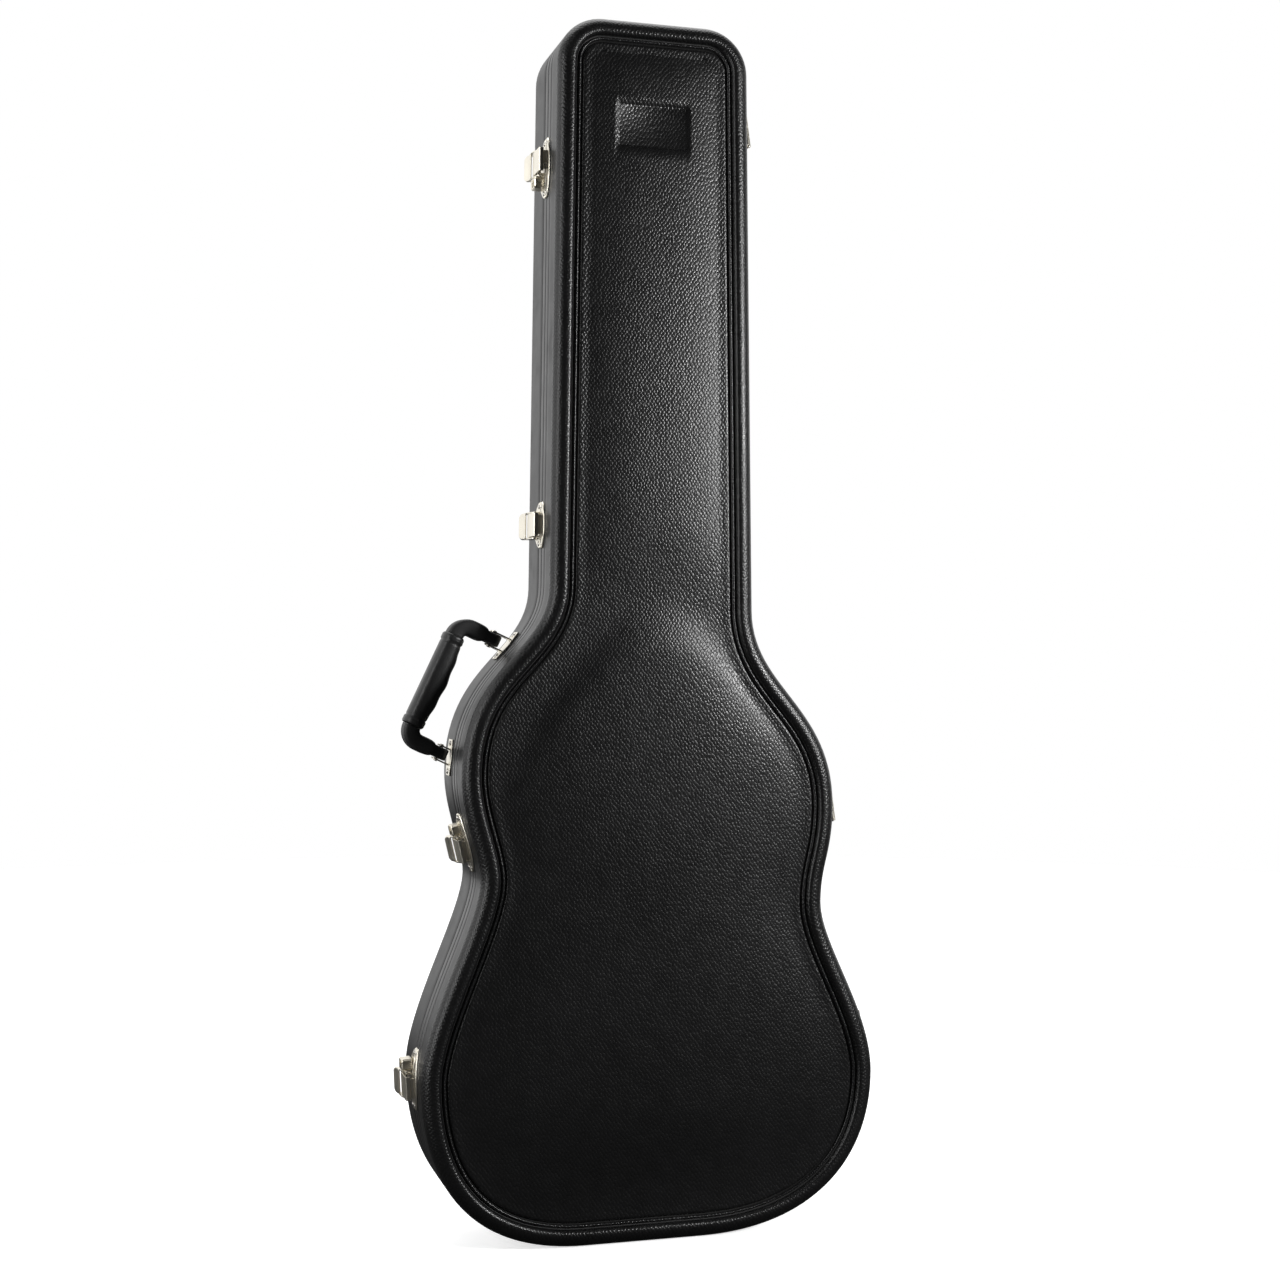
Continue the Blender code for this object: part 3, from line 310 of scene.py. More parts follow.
def smooth_material(name, color=(0.0080, 0.0080, 0.0083), rough=0.40, fine_scale=1500.0, fine_depth=0.00007, mottle=1.3):
    """Moulded plastic with a fine spark-eroded finish, faint flow marks and rub marks."""
    t = Tree(name)
    obj = t.coords()
    big = t.noise(obj, 7.0, 4.0)
    mid = t.noise(obj, 60.0, 4.0, 0.6)
    fine = t.noise(obj, fine_scale, 2.0, 0.6)
    rub = t.noise(t.mapping(obj, scale=(140.0, 22.0, 18.0)), 1.0, 5.0, 0.65, 0.4)
    tone = t.mixc(t.remap(big, 0.3, 0.7, 0.0, 1.0), rgba(color), rgba([c * mottle for c in color]))
    tone = t.mixc(t.remap(rub, 0.66, 0.78, 0.0, 0.25), tone, rgba([c * 2.2 + 0.004 for c in color]))
    t.link(tone, t.b.inputs["Base Color"])
    r = t.math("ADD", t.remap(big, 0.3, 0.7, rough - 0.03, rough + 0.03), t.remap(mid, 0.3, 0.7, -0.03, 0.03))
    r = t.math("ADD", r, t.remap(rub, 0.6, 0.8, 0.0, 0.09), clamp=True)
    t.link(r, t.b.inputs["Roughness"])
    n1 = t.bump(fine, 0.35, fine_depth)
    n2 = t.bump(t.noise(obj, 260.0, 2.0), 0.12, 0.00012, n1)
    t.link(n2, t.b.inputs["Normal"])
    return t.mat


def metal_material(name, color, rough=0.24, brush=(30, 900, 30), scratch=0.35, dirt=(0.10, 0.085, 0.06)):
    """Plated steel: brushed along one direction, hairline scratches, dirty in scattered spots and slightly worn."""
    t = Tree(name)
    obj = t.coords()
    t.b.inputs["Metallic"].default_value = 1.0
    big = t.noise(obj, 34.0, 3.0)
    lines = t.noise(t.mapping(obj, scale=brush), 1.0, 3.0, 0.6)
    sc = t.noise(t.mapping(obj, rot=(0.3, 0.5, 0.9), scale=(1400, 90, 120)), 1.0, 4.0, 0.7, 0.6)
    spots = t.noise(obj, 420.0, 3.0, 0.6)
    tone = t.mixc(t.remap(big, 0.3, 0.7, 0.0, 1.0), rgba(color), rgba([min(1, c * 1.10) for c in color]))
    tone = t.mixc(t.remap(spots, 0.70, 0.80, 0.0, 0.35), tone, rgba(dirt))
    tone = t.mixc(t.remap(lines, 0.3, 0.7, 0.0, 0.12), tone, rgba([c * 0.8 for c in color]))
    t.link(tone, t.b.inputs["Base Color"])
    r = t.math("ADD", t.remap(big, 0.3, 0.7, rough - 0.03, rough + 0.04), t.remap(lines, 0.3, 0.7, -0.04, 0.05))
    r = t.math("ADD", r, t.remap(sc, 0.62, 0.75, 0.0, 0.12), clamp=True)
    t.link(r, t.b.inputs["Roughness"])
    n1 = t.bump(lines, 0.18, 0.00004)
    n2 = t.bump(sc, scratch * 0.4, 0.00003, n1)
    n3 = t.bump(t.noise(obj, 130.0, 2.0), 0.05, 0.0002, n2)
    t.link(n3, t.b.inputs["Normal"])
    return t.mat


def rubber_material(name, color=(0.0105, 0.0105, 0.0108), rough=0.5, pitch=0.0009, depth=0.00010):
    """Soft-touch moulding with a fine leather-like grain, its hollows darkened with painted shade."""
    t = Tree(name)
    obj = t.coords()
    v = t.node("ShaderNodeTexVoronoi", voronoi_dimensions="3D", feature="F1")
    t.link(obj, v.inputs["Vector"])
    v.inputs["Scale"].default_value = 1.0 / pitch
    v.inputs["Randomness"].default_value = 0.9
    h = t.remap(v.outputs["Distance"], 0.1, 0.8, 1.0, 0.0)
    big = t.noise(obj, 28.0, 3.0)
    fine = t.noise(obj, 3200.0, 2.0)
    tone = t.mixc(t.remap(big, 0.3, 0.7, 0.0, 1.0), rgba(color), rgba([c * 1.4 for c in color]))
    # painted shade: the base colour darkens towards the hollows of the grain
    t.link(t.mixc(1.0, tone, t.ramp(h, ((0.0, 0.75), (1.0, 1.1))), "MULTIPLY"), t.b.inputs["Base Color"])
    r = t.math("ADD", t.remap(big, 0.3, 0.7, rough - 0.05, rough + 0.05), t.remap(fine, 0.3, 0.7, -0.03, 0.03), clamp=True)
    t.link(r, t.b.inputs["Roughness"])
    n1 = t.bump(h, 0.45, depth)
    n2 = t.bump(fine, 0.2, 0.00005, n1)
    t.link(n2, t.b.inputs["Normal"])
    return t.mat


def plush_material(name, color=(0.026, 0.026, 0.029), tuft=900.0, sheen=0.55):
    """Short plush pile: patches of leaning pile painted lighter as painted sheen, painted shade between the tufts, and
    a soft sheen.
    """
    t = Tree(name)
    obj = t.coords()
    painted_nap_sheen = t.noise(obj, 14.0, 4.0, 0.6, 0.8)
    tufts = t.noise(obj, tuft, 4.0, 0.7)
    clump = t.noise(obj, 190.0, 3.0, 0.6)
    v = t.node("ShaderNodeTexVoronoi", voronoi_dimensions="3D", feature="F1")
    t.link(obj, v.inputs["Vector"])
    v.inputs["Scale"].default_value = 1150.0
    # painted sheen: patches where the pile leans are painted up to 1.9 times lighter
    tone = t.mixc(t.remap(painted_nap_sheen, 0.35, 0.65, 0.0, 1.0), rgba(color), rgba([c * 1.9 for c in color]))
    tone = t.mixc(t.remap(clump, 0.35, 0.7, 0.0, 0.5), tone, rgba([c * 0.55 for c in color]))
    # painted shade: the base colour darkens between the tufts
    tone = t.mixc(1.0, tone, t.ramp(tufts, ((0.25, 0.45), (0.75, 1.35))), "MULTIPLY")
    t.link(tone, t.b.inputs["Base Color"])
    t.link(t.remap(tufts, 0.3, 0.7, 0.88, 1.0), t.b.inputs["Roughness"])
    t.b.inputs["Sheen Weight"].default_value = sheen
    t.b.inputs["Sheen Roughness"].default_value = 0.45
    t.b.inputs["Sheen Tint"].default_value = (0.55, 0.56, 0.62, 1.0)
    t.b.inputs["Specular IOR Level"].default_value = 0.15
    n1 = t.bump(clump, 0.30, 0.0009)
    n2 = t.bump(tufts, 0.55, 0.0005, n1)
    n3 = t.bump(v.outputs["Distance"], 0.35, 0.0004, n2)
    t.link(n3, t.b.inputs["Normal"])
    return t.mat


M_PANEL = pebble_material("shell_pebble_panel")
M_ROLL = pebble_material("shell_pebble_roll", uv="grain")
M_SIDE = smooth_material("shell_smooth_side")
M_GROOVE = smooth_material("shell_groove", color=(0.006, 0.006, 0.006), rough=0.62)
M_VAL = smooth_material("valance_satin", color=(0.010, 0.010, 0.0105), rough=0.34, fine_scale=1100.0)
M_INNER = smooth_material("shell_inner", color=(0.010, 0.010, 0.010), rough=0.60)
M_METAL = metal_material("hardware_plated", (0.90, 0.855, 0.745), 0.30)
M_METAL_H = metal_material("hinge_plated", (0.78, 0.735, 0.635), 0.27, brush=(900, 40, 40))
M_PIN = metal_material("pin_steel", (0.55, 0.53, 0.50), 0.30, brush=(500, 500, 60))
M_LOCK = metal_material("lock_plated", (0.86, 0.805, 0.68), 0.30, brush=(60, 60, 700))
M_PLUG = metal_material("plug_brass", (0.66, 0.60, 0.46), 0.30, brush=(300, 300, 300))
M_STRAP = rubber_material("strap_rubber", (0.0095, 0.0095, 0.0098), 0.55, 0.0012, 0.00008)
M_GRIP = rubber_material("grip_soft", (0.0115, 0.0115, 0.0118), 0.40, 0.0011, 0.00012)
M_PLUSH = plush_material("plush_pile")
M_PLUSH2 = plush_material("plush_box", (0.021, 0.021, 0.024), 1000.0, 0.5)
M_TAB = rubber_material("tab_leather", (0.014, 0.013, 0.012), 0.55, 0.0010, 0.00014)
M_THREAD = rubber_material("welt_cord", (0.020, 0.020, 0.021), 0.6, 0.0005, 0.0001)


# ------------------------------------------------------------------ mesh helpers
def mesh_object(name, bm, mats, body, nodes=(), smooth=35.0, recalc=True):
    if recalc:
        bmesh.ops.recalc_face_normals(bm, faces=bm.faces)
    me = bpy.data.meshes.new(name)
    bm.to_mesh(me)
    bm.free()
    ob = bpy.data.objects.new(name, me)
    scene.collection.objects.link(ob)
    for m in (mats if isinstance(mats, (list, tuple)) else [mats]):
        me.materials.append(m)
    me.shade_smooth()
    if smooth:
        me.set_sharp_from_angle(angle=math.radians(smooth))
    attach(ob, body)
    if nodes:
        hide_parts(*nodes)
    return ob


def arc(cx, cy, r, a0, a1, n):
    """Points (inset, y) of an arc, angles in degrees; 0 points to larger inset, 90 to larger y."""
    return [(cx + r * math.cos(math.radians(a0 + (a1 - a0) * i / n)),
             cy + r * math.sin(math.radians(a0 + (a1 - a0) * i / n))) for i in range(n + 1)]


def skin_mats(profile, pick):
    return [pick((a[0] + b[0]) / 2, (a[1] + b[1]) / 2) for a, b in zip(profile, profile[1:])]


def tray(bm, counts, cols, outer, inner, out_mats, panel_mat, in_mat, dome_out, dome_in):
    """Closed tray on the outline, with a grain map: along the outline, and across it."""
    pts, n = loop(counts, cols)
    m = len(pts)
    uvl = bm.loops.layers.uv.verify() if "grain" not in bm.loops.layers.uv else bm.loops.layers.uv["grain"]
    run = [0.0]
    for i in range(m):
        a, b = pts[i], pts[(i + 1) % m]
        run.append(run[-1] + math.hypot(a[0] - b[0], a[1] - b[1]))

    def skin(profile, lift, mats, panel):
        rings = [[bm.verts.new((x - d * nx, y, z - d * nz)) for x, z, nx, nz in pts] for d, y in profile]
        across = [0.0]
        for a, b in zip(profile, profile[1:]):
            across.append(across[-1] + math.hypot(a[0] - b[0], a[1] - b[1]))
        for a in range(len(rings) - 1):
            for i in range(m):
                j = (i + 1) % m
                f = bm.faces.new((rings[a][i], rings[a][j], rings[a + 1][j], rings[a + 1][i]))
                f.material_index = mats[a]
                for lp, (ii, aa) in zip(f.loops, ((i, a), (i + 1, a), (i + 1, a + 1), (i, a + 1))):
                    lp[uvl].uv = (run[ii], across[aa])
        last = rings[-1]
        right = last[:n]
        top = last[n:n + cols - 1]
        left = list(reversed(last[n + cols - 1:2 * n + cols - 1]))
        bottom = list(reversed(last[2 * n + cols - 1:]))
        y0 = profile[-1][1]
        rows = []
        for i in range(n):
            if i == 0:
                mid = bottom
            elif i == n - 1:
                mid = top
            else:
                mid = []
                for j in range(1, cols):
                    u = j / cols
                    p = right[i].co.lerp(left[i].co, u)
                    mid.append(bm.verts.new((p.x, y0 + lift(u, p.z, p.x), p.z)))
            rows.append([right[i]] + mid + [left[i]])
        for i in range(n - 1):
            for j in range(cols):
                f = bm.faces.new((rows[i][j], rows[i][j + 1], rows[i + 1][j + 1], rows[i + 1][j]))
                f.material_index = panel
                for lp in f.loops:
                    lp[uvl].uv = (lp.vert.co.x, lp.vert.co.z)
        return rings[0]

    a = skin(outer, dome_out, out_mats, panel_mat)
    b = skin(inner, dome_in, [in_mat] * (len(inner) - 1), in_mat)
    for i in range(m):
        j = (i + 1) % m
        f = bm.faces.new((a[i], a[j], b[j], b[i]))
        f.material_index = in_mat


def ring(bm, counts, cols, profile, mats=None):
    pts, _ = loop(counts, cols)
    m = len(pts)
    rings = [[bm.verts.new((x - d * nx, y, z - d * nz)) for x, z, nx, nz in pts] for d, y in profile]
    for a in range(len(rings)):
        b = (a + 1) % len(rings)
        for i in range(m):
            j = (i + 1) % m
            f = bm.faces.new((rings[a][i], rings[a][j], rings[b][j], rings[b][i]))
            if mats:
                f.material_index = mats[a]


def new_bm():
    bm = bmesh.new()
    bm.loops.layers.uv.new("grain")
    return bm


def tidy_cad(name, mat, width=0.00022, seg=2, angle=32.0):
    """A carried-over solid: its sharp edges are eased and it gets its own finish."""
    o = frame["nodes"][name]
    if o.data.materials:
        for i in range(len(o.data.materials)):
            o.data.materials[i] = mat
    else:
        o.data.materials.append(mat)
    w = o.modifiers.new("weld", "WELD")
    w.merge_threshold = 0.00001
    b = o.modifiers.new("ease", "BEVEL")
    b.width = width
    b.segments = seg
    b.limit_method = "ANGLE"
    b.angle_limit = math.radians(angle)
    b.harden_normals = False
    b.use_clamp_overlap = True
    s = o.modifiers.new("normals", "WEIGHTED_NORMAL")
    s.keep_sharp = False
    s.weight = 60
    return o


# ------------------------------------------------------------------ lid shell
lid_edge = SEAM - VALANCE - GAP
base_edge = SEAM + VALANCE + GAP

outer = [(0.0006, lid_edge), (0.0002, lid_edge - 0.0002), (0.0, lid_edge - 0.0006)]
outer += [(0.0, -0.0320), (0.0, -0.0395), (0.0, F + RIM + 0.0012)]
outer += arc(RIM, F + RIM, RIM, 180, 270, 16)
outer += [(0.0124, F + 0.00010), (0.0136, F + 0.00050), (0.0146, F + 0.0014), (0.0153, F + 0.0027), (0.0159, F + 0.0039),
          (0.0165, F + 0.0046), (0.0170, F + 0.0046), (0.0174, F + 0.0038), (0.0178, F + 0.0031), (0.0184, F + 0.0027),
          (0.0191, F + 0.0027), (0.0197, F + 0.0031), (0.0201, F + 0.0040), (0.0205, F + 0.0049), (0.0210, F + 0.0053),
          (0.0215, F + 0.0050), (0.0219, F + 0.0040), (0.0223, F + 0.0032), (0.0230, F + 0.00285), (0.0243, F + 0.0028),
          (0.0268, F + 0.00285), (0.0300, F + 0.0029)]


def lid_pick(d, y):
    if d < 0.0006 and y > F + RIM + 0.0006:
        return 0                               # smooth side
    if 0.0161 < d < 0.0171 or 0.0202 < d < 0.0216:
        return 3                               # the two grooves beside the bead
    if d > 0.0216:
        return 2                               # panel
    return 1                                   # pebbled roll


inner = [(WALL, lid_edge), (WALL, F + RIM), (0.0045, F + 0.0062), (0.0110, F + WALL), (0.0150, F + 0.0062),
         (0.0185, F + 0.0084), (0.0220, F + 0.0080), (0.0300, F + 0.0062)]
bm = new_bm()
tray(bm, HI, 48, outer, inner, skin_mats(outer, lid_pick), 2, 4,
     lambda u, z, x: -cover(u, z, x), lambda u, z, x: -dome(u, z))
lid = mesh_object("lid_shell_skin", bm, [M_SIDE, M_ROLL, M_PANEL, M_GROOVE, M_INNER], "lid", ["lid_shell"], smooth=50)


def cut_pocket(ob, x0, x1, z0, z1, y_face, depth, slope_x, slope_z, mat):
    """A sunk panel with sloped walls and eased corners, cut into the shell's face."""
    bm = bmesh.new()
    rings = []
    for y, k, r in ((y_face - 0.004, -0.004 / depth, 0.0048), (y_face, 0.0, 0.0042), (y_face + depth * 0.85, 0.80, 0.0022),
                    (y_face + depth, 1.0, 0.0016)):
        ax, bx = x0 + slope_x * k, x1 - slope_x * k
        az, bz = z0 + slope_z * k, z1 - slope_z * k
        pts = []
        for cx, cz, s in ((bx - r, bz - r, 0), (ax + r, bz - r, 90), (ax + r, az + r, 180), (bx - r, az + r, 270)):
            for q in range(5):
                a = math.radians(s + 22.5 * q)
                pts.append((cx + r * math.cos(a), y, cz + r * math.sin(a)))
        rings.append([bm.verts.new(p) for p in pts])
    m = len(rings[0])
    for a, b in zip(rings, rings[1:]):
        for i in range(m):
            j = (i + 1) % m
            bm.faces.new((a[i], a[j], b[j], b[i]))
    bm.faces.new(rings[0])
    bm.faces.new(rings[-1])
    bmesh.ops.recalc_face_normals(bm, faces=bm.faces)
    me = bpy.data.meshes.new("pocket_tool")
    bm.to_mesh(me)
    bm.free()
    tool = bpy.data.objects.new("pocket_tool", me)
    me.materials.append(mat)
    scene.collection.objects.link(tool)
    mod = ob.modifiers.new("cut", "BOOLEAN")
    mod.operation = "DIFFERENCE"
    mod.solver = "EXACT"
    mod.object = tool
    dg = bpy.context.evaluated_depsgraph_get()
    new = bpy.data.meshes.new_from_object(ob.evaluated_get(dg))
    ob.modifiers.clear()
    old = ob.data
    ob.data = new
    bpy.data.meshes.remove(old)
    bpy.data.objects.remove(tool, do_unlink=True)


cut_pocket(lid, -0.0375, 0.0325, 0.9560, 0.9985, F + 0.0029 - NECK_PILLOW + 0.0003, 0.0021, 0.0046, 0.0034, M_PANEL)
lid.data.shade_smooth()
lid.data.set_sharp_from_angle(angle=math.radians(50))

# ------------------------------------------------------------------ base shell
outer = [(0.0006, base_edge), (0.0002, base_edge + 0.0002), (0.0, base_edge + 0.0006), (0.0, 0.006), (0.0, 0.020), (0.0, BACK_Y - BACK_ROLL - 0.001)]
outer += arc(BACK_ROLL, BACK_Y - BACK_ROLL, BACK_ROLL, 180, 90, 18)
outer += [(0.0250, BACK_Y), (0.0285, BACK_Y - 0.0001), (0.0298, BACK_Y - 0.0005), (0.0306, BACK_Y - 0.0013), (0.0316, BACK_Y - 0.0016),
          (0.0330, BACK_Y - 0.0016), (0.0338, BACK_Y - 0.0012), (0.0345, BACK_Y - 0.0005), (0.0354, BACK_Y - 0.0002), (0.0370, BACK_Y - 0.0001)]


def base_pick(d, y):
    if y < BACK_Y - BACK_ROLL + 0.001:
        return 0
    if 0.0304 < d < 0.0340:
        return 3
    if d > 0.0340:
        return 2
    return 1


inner = [(WALL, base_edge), (WALL, BACK_Y - BACK_ROLL), (0.0040, BACK_Y - 0.014), (BACK_ROLL * 0.36, BACK_Y - BACK_ROLL * 0.36),
         (0.0140, BACK_Y - 0.0042), (BACK_ROLL, BACK_Y - WALL), (0.0370, BACK_Y - WALL)]
bm = new_bm()
tray(bm, HI, 40, outer, inner, skin_mats(outer, base_pick), 2, 4, lambda u, z, x: 0.0, lambda u, z, x: 0.0)
base = mesh_object("base_shell_skin", bm, [M_SIDE, M_ROLL, M_PANEL, M_GROOVE, M_INNER], "base", ["base_shell"], smooth=50)

# ------------------------------------------------------------------ valances
S = SEAM
prof = [(0.0012, S - 0.0004), (0.00045, S - 0.0007), (0.0001, S - 0.0012), (0.0, S - 0.0018), (0.0, S - 0.0096), (0.0001, S - 0.0101), (0.0004, S - 0.0104),
        (0.0005, S - VALANCE), (WALL + GAP, S - VALANCE), (WALL + GAP, S - FLANGE), (0.0052, S - FLANGE),
        (0.0052, S - 0.0009), (0.0048, S - 0.0004), (0.0044, S - 0.0004), (0.0044, S - 0.0040), (0.0014, S - 0.0040), (0.0014, S - 0.0004)]
bm = new_bm()
ring(bm, HI, 48, prof)
mesh_object("lid_valance_band", bm, M_VAL, "lid", ["lid_valance"], smooth=40)
prof = [(0.0012, S + 0.0004), (0.00045, S + 0.0007), (0.0001, S + 0.0012), (0.0, S + 0.0018), (0.0, S + 0.0096), (0.0001, S + 0.0101), (0.0004, S + 0.0104),
        (0.0005, S + VALANCE), (WALL + GAP, S + VALANCE), (WALL + GAP, S + FLANGE), (0.0052, S + FLANGE),
        (0.0052, S + 0.0009), (0.0048, S + 0.0004), (0.0034, S + 0.0004), (0.0034, S - 0.0022), (0.0031, S - 0.0026), (0.0025, S - 0.0026),
        (0.0022, S - 0.0022), (0.0022, S + 0.0004)]
bm = new_bm()
ring(bm, HI, 48, prof)
mesh_object("base_valance_band", bm, M_VAL, "base", ["base_valance"], smooth=40)


# ------------------------------------------------------------------ soft lining
def ripple(p, k=1.0):
    """Unevenness of hand-laid plush over foam, in metres, from -1 to 1 before scaling."""
    return k * (noise.noise(Vector((p.x * 14, p.y * 14, p.z * 14))) + 0.5 * noise.noise(Vector((p.x * 37, p.y * 37, p.z * 37))))


def cloth_swell(ob, voxel, pressure, cap, free, frames=20, lift=1):
    """Remeshes a pad, inflates its cover with cloth and keeps what may move: free(point, move) gives the allowed move."""
    rm = ob.modifiers.new("r", "REMESH")
    rm.mode = "VOXEL"
    rm.voxel_size = voxel
    dg = bpy.context.evaluated_depsgraph_get()
    me = bpy.data.meshes.new_from_object(ob.evaluated_get(dg))
    ob.modifiers.clear()
    mats = list(ob.data.materials)
    old = ob.data
    ob.data = me
    me.materials.clear()
    for m in mats:
        me.materials.append(m)
    rest = [v.co.copy() for v in me.vertices]
    c = ob.modifiers.new("cloth", "CLOTH")
    st = c.settings
    st.quality = 4
    st.mass = 0.25
    st.tension_stiffness = 12
    st.compression_stiffness = 12
    st.shear_stiffness = 6
    st.bending_stiffness = 0.6
    st.use_pressure = True
    st.uniform_pressure_force = pressure
    st.effector_weights.gravity = 0.0
    c.collision_settings.use_collision = False
    c.point_cache.frame_start = 1
    c.point_cache.frame_end = frames
    for f in range(1, frames + 1):
        scene.frame_set(f)
    dg = bpy.context.evaluated_depsgraph_get()
    ev = ob.evaluated_get(dg).to_mesh()
    moved = [v.co.copy() for v in ev.vertices]
    ob.evaluated_get(dg).to_mesh_clear()
    ob.modifiers.clear()
    scene.frame_set(1)
    for v, r, q in zip(me.vertices, rest, moved):
        d = q - r
        if d.length > cap:
            d = d * (cap / d.length)
        v.co = r + free(r, d)
    bm = bmesh.new()
    bm.from_mesh(me)
    for _ in range(2):
        bmesh.ops.smooth_vert(bm, verts=bm.verts, factor=0.35, use_axis_x=True, use_axis_y=True, use_axis_z=True)
    bm.to_mesh(me)
    bm.free()
    s = ob.modifiers.new("sub", "SUBSURF")
    s.levels = s.render_levels = 1
    me.shade_smooth()
    return ob


# base lining: padded walls with a rolled top edge, a cove and a padded floor
top_y = S + 0.0023
prof_in = [(0.0180, S + 0.0060), (0.0196, S + 0.0110), (0.0208, S + 0.0180), (0.0216, S + 0.0260), (0.0224, S + 0.0350),
           (0.0234, S + 0.0440), (0.0252, S + 0.0500), (0.0282, S + 0.0530), (0.0320, TRAY_FLOOR)]
outer = [(0.0124, top_y)] + [(0.0098, top_y + 0.0003), (0.0080, top_y + 0.0013), (0.0071, top_y + 0.0032), (0.0071, 0.005),
         (0.0071, BACK_Y - 0.0235), (0.0125, BACK_Y - 0.0150), (0.0190, BACK_Y - 0.0070), (0.0265, BACK_Y - WALL - 0.0012)]
inner = [(0.0124, top_y), (0.0148, top_y + 0.0003), (0.0166, top_y + 0.0015), (0.0176, top_y + 0.0032)] + prof_in


def liner_tray(name, body, node, counts, cols, outer, inner, dome_in, mat, wobble, side):
    bm = new_bm()
    pts, n = loop(counts, cols)
    m = len(pts)

    def skin(profile, lift):
        rings = []
        for d, y in profile:
            rings.append([bm.verts.new((x - d * nx, y, z - d * nz)) for x, z, nx, nz in pts])
        for a in range(len(rings) - 1):
            for i in range(m):
                j = (i + 1) % m
                bm.faces.new((rings[a][i], rings[a][j], rings[a + 1][j], rings[a + 1][i]))
        last = rings[-1]
        right = last[:n]
        top = last[n:n + cols - 1]
        left = list(reversed(last[n + cols - 1:2 * n + cols - 1]))
        bottom = list(reversed(last[2 * n + cols - 1:]))
        y0 = profile[-1][1]
        rows = []
        for i in range(n):
            mid = bottom if i == 0 else top if i == n - 1 else None
            if mid is None:
                mid = []
                for j in range(1, cols):
                    u = j / cols
                    p = right[i].co.lerp(left[i].co, u)
                    mid.append(bm.verts.new((p.x, y0 + lift(u, p.x, p.z), p.z)))
            rows.append([right[i]] + mid + [left[i]])
        for i in range(n - 1):
            for j in range(cols):
                bm.faces.new((rows[i][j], rows[i][j + 1], rows[i + 1][j + 1], rows[i + 1][j]))
        return rings

    a = skin(outer, lambda u, x, z: 0.0)
    b = skin(inner[1:], dome_in)
    for i in range(m):
        j = (i + 1) % m
        bm.faces.new((a[0][i], a[0][j], b[0][j], b[0][i]))
    bmesh.ops.recalc_face_normals(bm, faces=bm.faces)
    for rings, amp in ((b, 1.0),):
        for k, rg in enumerate(rings):
            s = min(1.0, k / 3.0)
            for v in rg:
                w = wobble * s * ripple(v.co)
                c = Vector((0.0 if abs(v.co.z) < 2 else 0.0, 0.0, 0.0))
                d = Vector((-v.co.x, 0.0, 0.45 - v.co.z)).normalized()
                v.co += Vector((d.x, 0.0, d.z)) * max(-0.0004, w)
    return mesh_object(name, bm, mat, body, [node], smooth=60)


def floor_pad(u, x, z):
    """Foam floor: soft crown with two sewn channels across the body part."""
    e = (1 - abs(2 * u - 1) ** 6)
    q = -0.0014 * e * step(0.03, 0.10, z) * (1 - step(1.02, 1.05, z))
    for zc in (0.235, 0.445):
        q += 0.0011 * math.exp(-((z - zc) / 0.006) ** 2)
    return q - 0.0004 * ripple(Vector((x, 0, z))) * e


base_lining = liner_tray("base_lining", "base", "base_liner", MID, 32, outer, inner, floor_pad, M_PLUSH, 0.0007, 1)

outer = [(0.0112, S - 0.0041), (0.0090, S - 0.0045), (0.0076, S - 0.0056), (0.0071, S - 0.0075), (0.0071, F + 0.0155), (0.0100, F + 0.0110),
         (0.0165, F + 0.0088), (0.0300, F + 0.0086)]
inner = [(0.0112, S - 0.0041), (0.0126, S - 0.0045), (0.0138, S - 0.0058), (0.0148, S - 0.0085), (0.0156, S - 0.0130), (0.0162, S - 0.0190),
         (0.0168, S - 0.0240), (0.0182, F + 0.0150), (0.0215, F + 0.0136), (0.0280, F + 0.0130)]


def lid_pad(u, x, z):
    e = (1 - abs(2 * u - 1) ** 4)
    q = 0.0022 * e * step(0.03, 0.12, z) * (1 - step(1.01, 1.05, z))
    for zc in (0.20, 0.34, 0.50, 0.66, 0.82, 0.96):
        q -= 0.0013 * math.exp(-((z - zc) / 0.0055) ** 2)
    return q + 0.0004 * ripple(Vector((x, 0, z))) * e


lid_lining = liner_tray("lid_lining", "lid", "lid_liner", MID, 32, outer, inner, lid_pad, M_PLUSH, 0.0006, -1)

# ------------------------------------------------------------------ neck cradle: foam block, cover swollen by cloth
CZ = (0.655, 0.695)
cw = neck_x(CZ[1]) - 0.022 - 0.0035
fy = TRAY_FLOOR - GAP


def soft_block(name, prof, z0, z1, body, node, mat, voxel, pressure, cap, free, rnd=0.0032):
    bm = bmesh.new()
    v = [bm.verts.new((x, y, z0)) for x, y in prof]
    f = bm.faces.new(v)
    res = bmesh.ops.extrude_face_region(bm, geom=[f])
    bmesh.ops.translate(bm, verts=[g for g in res["geom"] if isinstance(g, bmesh.types.BMVert)], vec=(0, 0, z1 - z0))
    bmesh.ops.recalc_face_normals(bm, faces=bm.faces)
    bmesh.ops.bevel(bm, geom=list(bm.edges), offset=rnd, segments=3, profile=0.6, affect="EDGES", clamp_overlap=True)
    me = bpy.data.meshes.new(name)
    bm.to_mesh(me)
    bm.free()
    ob = bpy.data.objects.new(name, me)
    scene.collection.objects.link(ob)
    me.materials.append(mat)
    cloth_swell(ob, voxel, pressure, cap, free)
    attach(ob, body)
    if node:
        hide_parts(node)
    return ob


i_ = 0.0009
yn = S + 0.004
prof = [(-cw + i_, fy - 0.0004), (cw - i_, fy - 0.0004), (cw - i_, yn + i_), (0.0375, yn + i_), (0.0312, yn + 0.0108),
        (0.0228, 0.0150), (0.0, 0.0152), (-0.0228, 0.0150), (-0.0312, yn + 0.0108), (-0.0375, yn + i_), (-cw + i_, yn + i_)]


def cradle_free(r, d):
    k = step(fy - 0.0010, fy - 0.0080, r.y)
    d = d * k
    d.x *= 1.0 if abs(r.x) < cw - 0.006 else 0.4
    return d


cradle = soft_block("neck_cradle_pad", prof, CZ[0] + 0.0012, CZ[1] - 0.0012, "base", "neck_cradle", M_PLUSH, 0.0024, 4.0, 0.0012, cradle_free)

